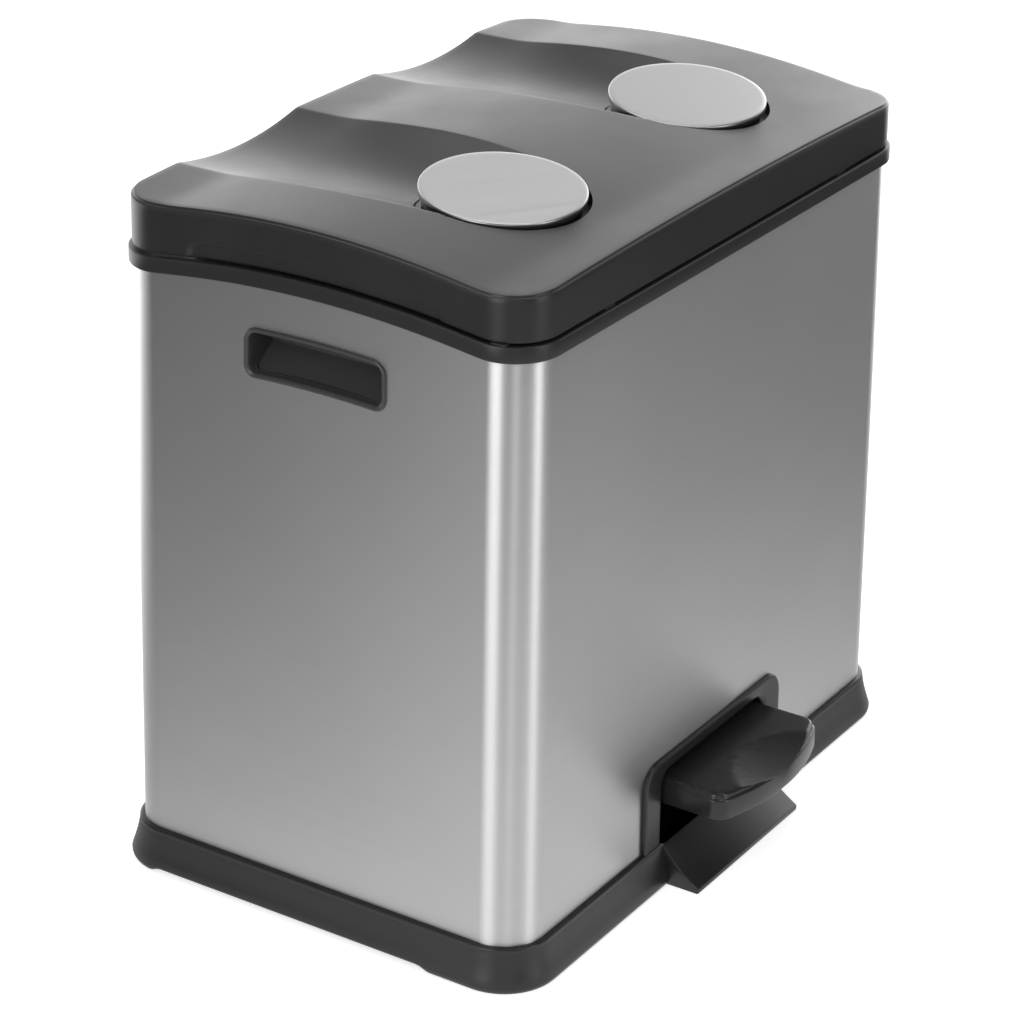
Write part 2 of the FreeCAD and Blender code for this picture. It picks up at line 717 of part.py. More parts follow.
def make_buffers():
    side_x = lid_half - S.lid_wall
    front_y = -lid_depth + S.lid_wall
    top = collar_top + S.lid_gap
    pads = []
    for side in (-1, 1):
        middle = side * S.hinge_spread
        pads.append(box(f"buffer_front_{side + 1}", (middle - S.buffer_half, middle + S.buffer_half),
                        (front_y - S.lid_wall, front_y + S.buffer_grip),
                        (collar_top, top)))
        pads.append(box(f"buffer_side_{side + 1}", outward(side, side_x - S.buffer_grip, lid_half),
                        (-S.arch_half - S.buffer_far, -S.arch_half - S.buffer_near),
                        (collar_top, top)))
    finish(group("buffers", *pads), "lid_buffers")


# The lid: an arched shell with two scoops, round bosses for the discs and hinge ears.

chord_y = lid_bend_rear - lid_bend_front
chord = root(chord_y * chord_y + S.lid_rise_rear * S.lid_rise_rear)
top_radius = arc_radius(chord / 2, S.lid_crown_rise - S.lid_rise_rear / 2)
top_lift = root(top_radius * top_radius - chord * chord / 4)
top_centre_y = (lid_bend_front + lid_bend_rear) / 2 + top_lift * S.lid_rise_rear / chord
top_centre_z = (lid_front_z + lid_rear_z) / 2 - top_lift * chord_y / chord
scoop_drop = S.disc_spread * S.disc_spread / (2 * S.lid_cross_radius)


def lid_surface(place):
    """Height of the lid's top along a scoop's middle line, before the scoop is cut."""
    across = place - top_centre_y
    return top_centre_z + root(top_radius * top_radius - across * across) - scoop_drop


disc_y = -S.disc_place
disc_z = lid_surface(disc_y) + S.disc_lift
floor_rear = lid_rear_z - scoop_drop - S.scoop_rear_depth
floor_end = lid_surface(disc_y) - S.scoop_end_depth


def lid_form(name, inset, low):
    """Rounded sides under an arched top that is also crowned from side to side."""
    owner = body(name)
    outline, arcs = rounded(lid_half - inset, inset - lid_depth, lid_depth - inset,
                            lid_corner - inset)
    pad(owner, draw(owner, name + "_outline", "xy", outline, low, arcs), above_all - low)
    axis_z = lid_crown_z - S.lid_cross_radius
    front = lid_front_z - inset - axis_z
    rear = lid_rear_z - inset - axis_z
    top = above_all + S.cut_margin - axis_z
    outline = [(-beyond_y, front), (lid_bend_front, front), (lid_bend_rear, rear),
               (beyond_y, rear), (beyond_y, top), (-beyond_y, top)]
    crown = draw(owner, name + "_crown", "yz", outline, 0, {1: (top_radius, -1)}, axis_z)
    groove = owner.newObject("PartDesign::Groove", name + "_groove")
    groove.Profile = crown
    groove.ReferenceAxis = (crown, ["H_Axis"])
    turn = 2 * beyond_x / S.lid_cross_radius * (180 / math.pi)
    bind(groove, "Angle", turn)
    groove.Midplane = True
    return owner


def scoop(name, side, grow):
    """A scoop's hollow: arcs lofted from the rear edge to a round well about the disc."""
    owner = body(name)
    middle_y = (half_depth - S.disc_place) / 2
    floor_middle = (floor_rear + floor_end) / 2
    depth_middle = lid_surface(middle_y) - floor_middle
    stations = [
        (half_depth + 2 * S.collar_proud, floor_rear, S.scoop_half, S.scoop_rear_depth),
        (middle_y, floor_middle, S.scoop_half, depth_middle),
        (disc_y, floor_end, S.scoop_end_half, S.scoop_end_depth),
    ]
    sections = []
    for number, (place, floor, half, depth) in enumerate(stations):
        radius = arc_radius(half, depth)
        reach = 1.2 * half
        middle = side * S.disc_spread
        rim = floor + radius - root(radius * radius - reach * reach)
        grown = radius + grow
        reach = reach * grown / radius
        rim = floor + radius - (floor + radius - rim) * grown / radius
        outline = [(middle - reach, rim), (middle + reach, rim),
                   (middle + reach, above_all), (middle - reach, above_all)]
        sections.append(draw(owner, f"{name}_section_{number}", "xz", outline, -place,
                             {0: (grown, 1)}))
    loft = owner.newObject("PartDesign::AdditiveLoft", name + "_loft")
    loft.Profile = sections[0]
    loft.Sections = sections[1:]
    well = cylinder(name + "_well", "z", S.scoop_well + grow, (floor_end - grow, above_all),
                    x=side * S.disc_spread, y=disc_y)
    return [owner, well]


def disc_cylinder(name, side, radius, below, above):
    """A cylinder square to a disc, between two places under and over its top."""
    item = doc.addObject("Part::Cylinder", name)
    turn = math.radians(S.disc_turn.value)
    axis = FreeCAD.Vector(math.cos(turn), math.sin(turn), 0)
    item.Placement = FreeCAD.Placement(
        FreeCAD.Vector(), FreeCAD.Rotation(axis, S.disc_tilt.value))
    shift = below * sine(S.disc_tilt)
    bind(item, "Radius", radius)
    bind(item, "Height", sized(below) - above)
    bind(item, "Placement.Base.x", side * S.disc_spread - shift * sine(S.disc_turn))
    bind(item, "Placement.Base.y", disc_y + shift * cosine(S.disc_turn))
    bind(item, "Placement.Base.z", disc_z - below * cosine(S.disc_tilt))
    return item


def make_disc(side, label):
    top = disc_cylinder(label + "_plate", side, S.disc_radius, S.disc_rim, ZERO)
    hollow = disc_cylinder(label + "_hollow", side, S.disc_radius - S.disc_wall,
                           S.disc_rim + S.cut_over, S.disc_wall)
    finish(cut(label + "_cut", top, hollow), label)


def make_disc_seat(side, label):
    """The ring that carries a disc, standing on the floor of its well."""
    bottom = 2 * S.scoop_end_depth
    ring = disc_cylinder(label + "_ring", side, S.boss_radius, bottom, S.disc_wall)
    bore = disc_cylinder(label + "_bore", side, S.boss_radius - S.boss_wall,
                         bottom + S.cut_over, ZERO)
    below = box(label + "_below", (-beyond_x, beyond_x), (-beyond_y, beyond_y),
                (floor_end - S.cut_margin, floor_end))
    finish(cut(label + "_cut", ring, bore, below), label)


def make_lid():
    low = below_collar
    scoops = []
    inner_scoops = []
    ears = []
    notches = []
    bores = []
    for side in (-1, 1):
        name = f"lid_{side + 1}"
        scoops += scoop(name + "_scoop", side, ZERO)
        inner_scoops += scoop(name + "_scoop_under", side, S.lid_wall)
        middle = side * S.hinge_spread
        inner = S.knuckle_length / 2 + S.side_play
        outer = inner + S.ear_length
        notch = outer + 2.5 * S.screw_head_radius
        notches.append(box(name + "_notch", (middle - notch, middle + notch),
                           (hinge_y - 2 * S.knuckle_radius, beyond_y),
                           (low, hinge_z + S.knuckle_radius + S.cut_over)))
        for way in (-1, 1):
            span_x = outward(way, inner, outer)
            span_x = (middle + span_x[0], middle + span_x[1])
            ear_name = f"{name}_ear_{way + 1}"
            ring = cylinder(ear_name + "_ring", "x", S.knuckle_radius, span_x,
                            y=hinge_y, z=hinge_z)
            web = box(ear_name + "_web", span_x,
                      (hinge_y - S.knuckle_radius, lid_depth - S.lid_wall / 2),
                      (hinge_z, floor_rear))
            ears += [ring, web]
        bores.append(cylinder(name + "_pin_bore", "x", S.hinge_pin_radius + S.run_gap,
                              (middle - outer - S.cut_over, middle + outer + S.cut_over),
                              y=hinge_y, z=hinge_z))
    outer = lid_form("lid_outer", ZERO, low)
    inner = lid_form("lid_inner", S.lid_wall, low - S.cut_over)
    rear_gap = box("lid_rear_gap", (-beyond_x, beyond_x),
                   (lid_depth - S.lid_rear_band, beyond_y), (low, collar_top + S.lid_rear_gap))
    under = below_arch("lid_under", collar_top + S.lid_gap)
    holes = crank_shanks("lid_screw_hole", S.run_gap, (skirt_inner_y - S.cut_over,
                                                      skirt_inner_y + S.crank_screw_bite))
    doc.recompute()
    skin = carved(outer, scoops).cut(carved(inner, inner_scoops))
    for tool in (under, rear_gap, *notches):
        skin = skin.cut(tool.Shape)
    for ear in ears:
        skin = skin.fuse(ear.Shape)
    for tool in (*bores, *holes):
        skin = skin.cut(tool.Shape)
    lid = doc.addObject("Part::Feature", "lid")
    lid.Shape = skin
    finish(lid, "lid_shell")


def crank_shanks(name, grow, span):
    """The two cylinders, along Y, of the crank's screws."""
    return [
        cylinder(f"{name}_{number}", "y", S.screw_radius + grow, span,
                 x=S.crank_near + S.crank_wall + S.crank_screw_side, z=crank_foot_z + height)
        for number, height in enumerate((S.crank_screw_low, S.crank_screw_high))
    ]


def make_crank():
    near = S.crank_near
    far = near + S.crank_wall
    corner_y = crank_pin_y + S.crank_bend
    foot_y = skirt_inner_y - S.crank_foot_wall
    outline = [
        (crank_pin_y + S.link_radius, crank_pin_z - S.link_radius),
        (corner_y, hinge_z - S.crank_bend_drop), (skirt_inner_y, crank_foot_z),
        (skirt_inner_y, crank_head_z), (corner_y, crank_head_z),
        (crank_pin_y - S.link_radius, crank_pin_z + S.link_radius),
    ]
    arm = prism("crank_arm", "yz", outline, near, far)
    eye = cylinder("crank_eye", "x", 2 * S.link_radius, (near, far),
                   y=crank_pin_y, z=crank_pin_z)
    foot = box("crank_foot", (near, far + S.crank_foot_reach), (foot_y, skirt_inner_y),
               (crank_foot_z, crank_head_z))
    bore = cylinder("crank_bore", "x", S.link_radius + S.run_gap,
                    (near - S.cut_over, far + S.cut_over), y=crank_pin_y, z=crank_pin_z)
    holes = crank_shanks("crank_hole", S.run_gap,
                         (foot_y - S.cut_over, skirt_inner_y + S.cut_over))
    finish(cut("crank", fuse("crank_whole", arm, eye, foot), bore, *holes), "lid_crank")
    pin_end = -near - 2 * S.axle_end
    shaft = cylinder("crank_pin_shaft", "x", S.link_radius, (pin_end, far),
                     y=crank_pin_y, z=crank_pin_z)
    head = cylinder("crank_pin_head", "x", 1.5 * S.link_radius,
                    (pin_end, pin_end + S.axle_end), y=crank_pin_y, z=crank_pin_z)
    finish(fuse("crank_pin_whole", shaft, head), "crank_pin")
    shanks = crank_shanks("crank_shank", ZERO, (foot_y, skirt_inner_y + S.crank_screw_bite))
    heads = crank_shanks("crank_head", S.screw_head_radius - S.screw_radius,
                         (foot_y - S.screw_head, foot_y))
    screws = [fuse(f"crank_screw_{number}", *pair)
              for number, pair in enumerate(zip(shanks, heads))]
    finish(group("crank_screw_pair", *screws), "crank_screws")


# The pedal with its lever, and the push rod that lifts the crank.

def pedal_outline(inset):
    """The pedal from above: a bowed front edge that runs smoothly into round corners."""
    bow = arc_radius(S.pedal_half, S.pedal_bow_rise)
    lean = (S.pedal_half - S.pedal_corner) / (bow - S.pedal_corner)
    upright = root(1 - lean * lean)
    centre_y = bow - half_depth - S.pedal_reach
    half = S.pedal_half - inset
    corner = S.pedal_corner - inset
    end_x = (bow - inset) * lean
    end_y = centre_y - (bow - inset) * upright
    side_y = centre_y - (bow - S.pedal_corner) * upright
    rear = S.pedal_rear - half_depth
    outline = [(-end_x, end_y), (end_x, end_y), (half, side_y), (half, rear), (-half, rear),
               (-half, side_y)]
    return outline, {0: (bow - inset, 1), 1: (corner, 1), 5: (corner, 1)}


def pedal_shanks(name, grow, span):
    return [
        cylinder(f"{name}_{number}", "z", S.screw_radius + grow, span, x=ZERO,
                 y=-half_depth - place)
        for number, place in enumerate((S.pedal_screw_near, S.pedal_screw_far))
    ]


def make_pedal():
    block = body("pedal_block")
    outline, arcs = pedal_outline(ZERO)
    low = S.pedal_top - S.pedal_thick
    grow = pad(block, draw(block, "pedal_outline", "xy", outline, low, arcs), S.pedal_thick)
    doc.recompute()
    edges = [
        f"Edge{number}" for number, edge in enumerate(grow.Shape.Edges, start=1)
        if edge.BoundBox.ZMin > (S.pedal_top - S.run_gap).value
        and edge.BoundBox.YMin < (S.pedal_rear - half_depth - S.run_gap).value
    ]
    soft = block.newObject("PartDesign::Fillet", "pedal_round")
    soft.Base = (grow, edges)
    bind(soft, "Radius", S.pedal_round)
    outline, arcs = pedal_outline(S.pedal_side)
    hollow = prism("pedal_hollow", "xy", outline, low - S.cut_over, lever_top_z, arcs)
    dish = doc.addObject("Part::Sphere", "pedal_dish")
    dish_curve = arc_radius(S.dish_radius, S.dish_depth)
    bind(dish, "Radius", dish_curve)
    bind(dish, "Placement.Base.y", -half_depth - S.dish_place)
    bind(dish, "Placement.Base.z", S.pedal_top - S.dish_depth + dish_curve)
    holes = pedal_shanks("pedal_hole", S.run_gap, (lever_top_z - S.cut_over,
                                                   lever_top_z + S.pedal_screw_bite))
    finish(cut("pedal", block, hollow, dish, *holes), "pedal_tread")


def make_lever():
    half = S.lever_wall / 2
    pivot_y = -S.lever_place
    low_front = lever_top_z - S.lever_wall
    bend_y = S.pedal_rear - half_depth
    outline = [
        (lever_front_y, low_front), (bend_y, low_front), (pivot_y, S.lever_height - half),
        (rod_y, lever_pin_z - half), (rod_y, lever_pin_z + half),
        (pivot_y, S.lever_height + half), (bend_y, lever_top_z), (lever_front_y, lever_top_z),
    ]
    bar = prism("lever_bar", "yz", outline, -S.lever_half_width, S.lever_half_width)
    hub = cylinder("lever_hub", "x", S.lever_hub, (-lever_hub_half, lever_hub_half),
                   y=pivot_y, z=S.lever_height)
    eye = cylinder("lever_eye", "x", 2 * S.link_radius, (S.crank_near, S.lever_half_width),
                   y=rod_y, z=lever_pin_z)
    bore = cylinder("lever_bore", "x", S.lever_pin_radius + S.run_gap,
                    (-lever_hub_half - S.cut_over, lever_hub_half + S.cut_over), y=pivot_y,
                    z=S.lever_height)
    eye_bore = cylinder("lever_eye_bore", "x", S.link_radius + S.run_gap,
                        (S.crank_near - S.cut_over, S.lever_half_width + S.cut_over), y=rod_y,
                        z=lever_pin_z)
    gap = box("lever_gap", (-S.lever_half_width - S.cut_over, S.crank_near),
              (rod_y - S.yoke_half_width - S.lever_gap, beyond_y), (0, S.lever_height))
    holes = pedal_shanks("lever_hole", S.run_gap,
                         (low_front - S.cut_over, lever_top_z + S.cut_over))
    whole = fuse("lever_whole", bar, hub, eye)
    finish(cut("lever", whole, bore, eye_bore, gap, *holes), "pedal_lever")
    pin_end = -S.crank_near - 2 * S.axle_end
    shaft = cylinder("link_shaft", "x", S.link_radius, (pin_end, S.lever_half_width),
                     y=rod_y, z=lever_pin_z)
    head = cylinder("link_head", "x", 1.5 * S.link_radius, (pin_end, pin_end + S.axle_end),
                    y=rod_y, z=lever_pin_z)
    finish(fuse("link_pin", shaft, head), "lever_link_pin")
    shanks = pedal_shanks("pedal_shank", ZERO, (low_front, lever_top_z + S.pedal_screw_bite))
    heads = pedal_shanks("pedal_head", S.screw_head_radius - S.screw_radius,
                         (low_front - S.screw_head, low_front))
    screws = [fuse(f"pedal_screw_{number}", *pair)
              for number, pair in enumerate(zip(shanks, heads))]
    finish(group("pedal_screw_pair", *screws), "pedal_screws")


def make_yoke(name, height, sway, way):
    """A block with a level slot for a pin, and a socket for the rod's end."""
    low_x = -S.crank_near
    high_x = S.crank_near - S.yoke_play
    block = box(name + "_block", (low_x, high_x),
                (rod_y - S.yoke_half_width, rod_y + S.yoke_half_width),
                (height - S.yoke_half_height, height + S.yoke_half_height))
    slot_half = sway + S.link_radius + S.slot_play
    slot_rise = S.link_radius + S.slot_play
    slot = box(name + "_slot", (low_x - S.cut_over, high_x + S.cut_over),
               (rod_y - slot_half, rod_y + slot_half), (height - slot_rise, height + slot_rise))
    edge = height + way * S.yoke_half_height
    socket_span = (edge - S.rod_sink, edge) if way > 0 else (edge, edge + S.rod_sink)
    socket = cylinder(name + "_socket", "z", S.rod_radius + S.run_gap, socket_span,
                      x=rod_x, y=rod_y)
    return cut(name, block, slot, socket)


def make_rod():
    lower = lever_pin_z + S.yoke_half_height - S.rod_sink
    upper = yoke_upper_z - S.yoke_half_height + S.rod_sink
    rod = cylinder("rod_bar", "z", S.rod_radius, (lower, upper), x=rod_x, y=rod_y)
    finish(group("rod", rod), "push_rod")
    sway = S.crank_radius * (1 - cosine(half_swing)) / 2
    yokes = [make_yoke("yoke_lower", lever_pin_z, S.lower_sway, 1),
             make_yoke("yoke_upper", yoke_upper_z, sway, -1)]
    finish(group("yokes", *yokes), "rod_yokes")
    centre = {"x": S.damper_offset, "y": damper_y}
    piston_low = S.damper_low + 2 * S.damper_radius
    stem = cylinder("damper_stem", "z", S.damper_rod_radius, (piston_low, S.arm_place), **centre)
    piston = cylinder("damper_piston", "z", S.damper_radius - S.damper_wall - S.run_gap,
                      (piston_low, piston_low + S.piston_height), **centre)
    finish(fuse("damper_rod", stem, piston), "damper_rod")
    arm = box("arm_block", (-2 * S.rod_radius, S.damper_offset + S.arm_land),
              (rod_y - 2 * S.rod_radius, damper_y + S.arm_land),
              (S.arm_place, S.arm_place + S.arm_height))
    bore = cylinder("arm_bore", "z", S.rod_radius + S.run_gap,
                    (S.arm_place - S.cut_over, S.arm_place + S.arm_height + S.cut_over),
                    x=rod_x, y=rod_y)
    finish(cut("arm", arm, bore), "damper_arm")


# The two lift-out buckets.

def bucket_prism(name, side, grow, low, high):
    half = bucket_width / 2 + grow
    outline, arcs = rounded(half, -bucket_front - grow, bucket_rear + grow,
                            S.bucket_corner + grow,
                            side * (S.bucket_middle + bucket_width / 2))
    return prism(name, "xy", outline, low, high, arcs)


def make_bucket(side, label):
    top = S.bucket_rim_top
    wall = bucket_prism(label + "_outer", side, ZERO, S.deck_top, top)
    rim = bucket_prism(label + "_rim", side, S.bucket_rim, top - S.bucket_rim_height, top)
    hollow = bucket_prism(label + "_inner", side, -S.bucket_wall,
                          S.deck_top + S.bucket_wall, top + S.cut_over)
    finish(cut(label + "_cut", fuse(label + "_whole", wall, rim), hollow), label)


make_base()
make_pads()
make_shell()
make_collar()
make_surround()
make_handle(-1, "side_handle_left")
make_handle(1, "side_handle_right")
make_deck()
make_cover()
make_guides()
make_damper()
make_lever_bearing()
make_hinge()
make_buffers()
make_lid()
make_disc(-1, "disc_left")
make_disc(1, "disc_right")
make_disc_seat(-1, "disc_seat_left")
make_disc_seat(1, "disc_seat_right")
make_crank()
make_pedal()
make_lever()
make_rod()
make_bucket(-1, "bucket_left")
make_bucket(1, "bucket_right")

doc.recompute()
faults = [item.Name for item in doc.Objects if {"Invalid", "Error"} & set(item.State)]
if faults:
    raise RuntimeError("failed: " + ", ".join(faults))
os.makedirs("parts", exist_ok=True)
for node in NODES:
    if node.Shape.isNull() or not node.Shape.isValid():
        raise RuntimeError("bad shape: " + node.Label)
    node.Shape.exportStep(f"parts/{node.Label}.step")
    bounds = node.Shape.BoundBox
    print(node.Label, len(node.Shape.Solids), round(node.Shape.Volume / 1000, 1), "cm3",
          [round(number, 1) for number in (bounds.XMin, bounds.XMax, bounds.YMin,
                                           bounds.YMax, bounds.ZMin, bounds.ZMax)])
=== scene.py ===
import json
import math

import bmesh
import bpy
import numpy as np
from mathutils import Matrix, Vector
from mathutils.geometry import delaunay_2d_cdt
from mathutils.kdtree import KDTree

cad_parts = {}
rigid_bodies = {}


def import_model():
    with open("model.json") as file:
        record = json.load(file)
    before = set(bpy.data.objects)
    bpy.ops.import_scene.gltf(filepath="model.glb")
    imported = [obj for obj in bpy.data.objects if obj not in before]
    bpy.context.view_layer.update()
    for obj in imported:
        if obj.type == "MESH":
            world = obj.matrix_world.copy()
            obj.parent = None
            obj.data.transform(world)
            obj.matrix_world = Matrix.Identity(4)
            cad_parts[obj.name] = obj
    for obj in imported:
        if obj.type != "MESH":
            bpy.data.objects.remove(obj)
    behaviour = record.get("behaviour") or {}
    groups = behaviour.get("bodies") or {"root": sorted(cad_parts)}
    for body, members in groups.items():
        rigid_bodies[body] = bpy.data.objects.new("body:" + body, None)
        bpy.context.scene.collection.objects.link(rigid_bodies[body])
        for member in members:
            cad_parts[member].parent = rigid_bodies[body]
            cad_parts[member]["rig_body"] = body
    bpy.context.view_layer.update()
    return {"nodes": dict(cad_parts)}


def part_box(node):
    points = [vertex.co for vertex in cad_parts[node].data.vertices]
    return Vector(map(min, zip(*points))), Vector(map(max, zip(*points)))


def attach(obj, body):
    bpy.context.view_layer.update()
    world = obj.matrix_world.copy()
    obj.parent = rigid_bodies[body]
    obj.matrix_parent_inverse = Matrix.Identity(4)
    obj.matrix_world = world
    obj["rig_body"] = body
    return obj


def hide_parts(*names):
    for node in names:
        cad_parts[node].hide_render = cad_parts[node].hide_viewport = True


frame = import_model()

# Double recycling bin: satin steel body, black plastic base, rim, lid and pedal.
# Lengths are in metres; MM turns the sizes below into metres.

MM = 0.001

# Places taken from the frame.
shell_low, shell_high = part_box("steel_shell")
lid_low, lid_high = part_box("lid_shell")
collar_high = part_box("rim_collar")[1]
base_low, base_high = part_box("base_tray")
pedal_low, pedal_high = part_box("pedal_tread")
surround_low, surround_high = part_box("pedal_surround")
disc_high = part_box("disc_right")[1]

MIDDLE_Y = (shell_low.y + shell_high.y) / 2
SHELL_HALF_X = shell_high.x
SHELL_HALF_Y = (shell_high.y - shell_low.y) / 2
SHELL_CORNER = 30 * MM
SHELL_WALL = 0.8 * MM
FRONT_FACE = shell_low.y

# The arched line that the body's top, the rim and the lid's foot follow from front to rear.
ARCH_HALF = 126 * MM
ARCH_RISE = 10 * MM
ARCH_SOFT = 1.2 * MM

# Rim and base, measured out from the steel.
COLLAR_PROUD = collar_high.x - SHELL_HALF_X
COLLAR_BOTTOM = 427 * MM
COLLAR_HEIGHT = 11 * MM
COLLAR_TOP = COLLAR_BOTTOM + COLLAR_HEIGHT
COLLAR_EDGE = 1.1 * MM
COLLAR_INNER = 12 * MM
BASE_HEIGHT = base_high.z
BASE_FLARE = base_high.x - SHELL_HALF_X
FOOT_RISE = 3 * MM

# Lid.
LID_HALF_X = lid_high.x
LID_HALF_Y = (lid_high.y - lid_low.y) / 2
LID_CORNER = SHELL_CORNER + LID_HALF_X - SHELL_HALF_X
LID_WALL = 2.8 * MM
LID_BOTTOM = COLLAR_TOP + 1.2 * MM
LID_CROWN = lid_high.z
LID_FRONT_DROP = 12 * MM
LID_REAR_DROP = 8 * MM
LID_BEND_FRONT = -122 * MM
LID_BEND_REAR = 115 * MM
LID_CROSS_RADIUS = 5.8
LID_EDGE = 2.4 * MM
LID_STEP = [(2.4, 0), (2.0, 0.08), (1.7, 0.3), (1.55, 0.65), (1.5, 1.1), (1.42, 1.38),
            (1.2, 1.5), (0.8, 1.56), (0.42, 1.7), (0.13, 2.0), (0, 2.4)]

# Discs on the lid, and the scoops behind them.
DISC_RADIUS = 54 * MM
DISC_RIM = 4.5 * MM
DISC_TILT = math.radians(6)
DISC_TURN = math.radians(-34)
DISC_X = 115 * MM
DISC_Y = MIDDLE_Y - 56 * MM
DISC_Z = disc_high.z - DISC_RADIUS * math.sin(DISC_TILT)
SEAT_RADIUS = 51 * MM
SEAT_WALL = 3 * MM
WELL_RADIUS = 56.5 * MM
SCOOP_HALF = 66 * MM
SCOOP_NARROW = 10 * MM
SCOOP_REAR_DEPTH = 8 * MM
SCOOP_END_DEPTH = 14 * MM
RIDGE_SOFT = 0.35 * MM


# ---- mesh helpers ----

LATHE_STEPS = 128
WELD = 2e-6
SHARP = 35


def smooth_min(first, second, blend):
    return (first + second - np.sqrt((first - second) ** 2 + blend ** 2)) / 2


def smooth_max(first, second, blend):
    return (first + second + np.sqrt((first - second) ** 2 + blend ** 2)) / 2


def smooth_step(value):
    value = np.clip(value, 0, 1)
    return value * value * (3 - 2 * value)


class Rail:
    """A closed plan line, anticlockwise, with its outward directions."""

    def __init__(self, points, outward):
        self.points = np.array(points, float)
        self.outward = np.array(outward, float)

    def at(self, offset):
        """The same line moved outwards by one distance, or by one for each point."""
        return self.points + self.outward * np.reshape(offset, (-1, 1))


def rounded_rail(half_x, half_y, corner, spacing, steps, middle=(0, MIDDLE_Y)):
    """A rounded rectangle, with points along its straight sides too."""
    points = []
    outward = []
    signs = ((1, -1), (1, 1), (-1, 1), (-1, -1))
    for number, (sign_x, sign_y) in enumerate(signs):
        centre = np.array((middle[0] + sign_x * (half_x - corner),
                           middle[1] + sign_y * (half_y - corner)))
        for step in range(steps + 1):
            angle = math.pi / 2 * (number - 1 + step / steps)
            normal = np.array((math.cos(angle), math.sin(angle)))
            points.append(centre + corner * normal)
            outward.append(normal)
        side = 2 * (half_y if number % 2 == 0 else half_x) - 2 * corner
        along = np.array((-normal[1], normal[0]))
        count = max(1, round(side / spacing))
        start = points[-1]
        for step in range(1, count):
            points.append(start + along * side * step / count)
            outward.append(normal)
    return Rail(points, outward)


def ring(rail, offset, height):
    """One ring of a sweep; the height is a number or a function of x and y."""
    plan = rail.at(offset)
    if callable(height):
        level = height(plan[:, 0], plan[:, 1])
    else:
        level = np.full(len(plan), float(height))
    return np.column_stack([plan, level])


def bridge(rings, closed=False, open_path=False):
    """The faces that join rings of as many points each."""
    count = len(rings[0])
    points = np.concatenate(rings)
    faces = []
    pairs = len(rings) if closed else len(rings) - 1
    for number in range(pairs):
        here = number * count
        there = (number + 1) % len(rings) * count
        for place in range(count - 1 if open_path else count):
            after = (place + 1) % count
            faces.append((here + place, here + after, there + after, there + place))
    return points, faces


def sweep(rail, profile, closed=False):
    return bridge([ring(rail, offset, height) for offset, height in profile], closed)


def cap(loop):
    """One flat face on a closed loop of points."""
    return np.array(loop), [tuple(range(len(loop)))]


def skin(boundary, lines, spacing, height):
    """A triangulated sheet inside a boundary, denser along the given plan lines."""
    known = np.concatenate([boundary] + lines)
    tree = KDTree(len(known))
    for number, (x, y) in enumerate(known):
        tree.insert((x, y, 0), number)
    tree.balance()
    low = boundary.min(0)
    high = boundary.max(0)
    plan = [tuple(point) for point in known]
    for x in np.arange(low[0] + spacing / 2, high[0], spacing):
        for y in np.arange(low[1] + spacing / 2, high[1], spacing):
            if tree.find((x, y, 0))[2] > 0.7 * spacing:
                plan.append((x, y))
    outline = list(range(len(boundary)))
    made = delaunay_2d_cdt([Vector(point) for point in plan], [], [outline], 1, 1e-7)
    plan = np.array([tuple(point) for point in made[0]])
    level = height(plan[:, 0], plan[:, 1])
    return np.column_stack([plan, level]), [tuple(face) for face in made[2]]


def lathe(profile):
    """A turned sheet about the Z axis from (radius, height) pairs."""
    angles = 2 * math.pi * np.arange(LATHE_STEPS) / LATHE_STEPS
    circle = np.column_stack([np.cos(angles), np.sin(angles)])
    return bridge([np.column_stack([radius * circle, np.full(LATHE_STEPS, float(height))])
                   for radius, height in profile])


def block(low, high):
    """A box between two corners."""
    corners = [(x, y, z) for x in (low[0], high[0]) for y in (low[1], high[1])
               for z in (low[2], high[2])]
    faces = [(0, 1, 3, 2), (4, 6, 7, 5), (0, 4, 5, 1), (2, 3, 7, 6), (0, 2, 6, 4), (1, 5, 7, 3)]
    return np.array(corners), faces


def extruded(outline, axis, span):
    """A straight solid on an outline of two coordinates, along one axis."""
    order = [place for place in range(3) if place != axis]
    rings = []
    for end in span:
        points = np.zeros((len(outline), 3))
        points[:, order[0]] = [point[0] for point in outline]
        points[:, order[1]] = [point[1] for point in outline]
        points[:, axis] = end
        rings.append(points)
    sides = bridge(rings)
    return [sides, cap(rings[0]), cap(rings[1])]


def mesh_object(name, chunks, sharp=SHARP):
    """Joins chunks of points and faces into one clean mesh with outward faces."""
    mesh = bpy.data.meshes.new(name)
    points = []
    faces = []
    for chunk_points, chunk_faces in chunks:
        shift = len(points)
        points += [tuple(float(value) for value in point) for point in chunk_points]
        faces += [tuple(shift + place for place in face) for face in chunk_faces]
    mesh.from_pydata(points, [], faces)
    item = bpy.data.objects.new(name, mesh)
    bpy.context.scene.collection.objects.link(item)
    tidy(item, WELD, sharp)
    return item


def tidy(item, merge, sharp, outward=True):
    """Merges doubled points, turns faces outwards and shades smooth up to an angle."""
    work = bmesh.new()
    work.from_mesh(item.data)
    bmesh.ops.remove_doubles(work, verts=work.verts, dist=merge)
    bmesh.ops.dissolve_degenerate(work, edges=work.edges, dist=merge / 2)
    loose = [vertex for vertex in work.verts if not vertex.link_faces]
    bmesh.ops.delete(work, geom=loose, context="VERTS")
    if outward:
        bmesh.ops.recalc_face_normals(work, faces=work.faces)
    for face in work.faces:
        face.smooth = True
    work.to_mesh(item.data)
    work.free()
    item.data.set_sharp_from_angle(angle=math.radians(sharp))


def settle(item):
    """Turns the object with its modifiers into a plain mesh."""
    graph = bpy.context.evaluated_depsgraph_get()
    plain = bpy.data.meshes.new_from_object(item.evaluated_get(graph))
    item.modifiers.clear()
    item.data = plain


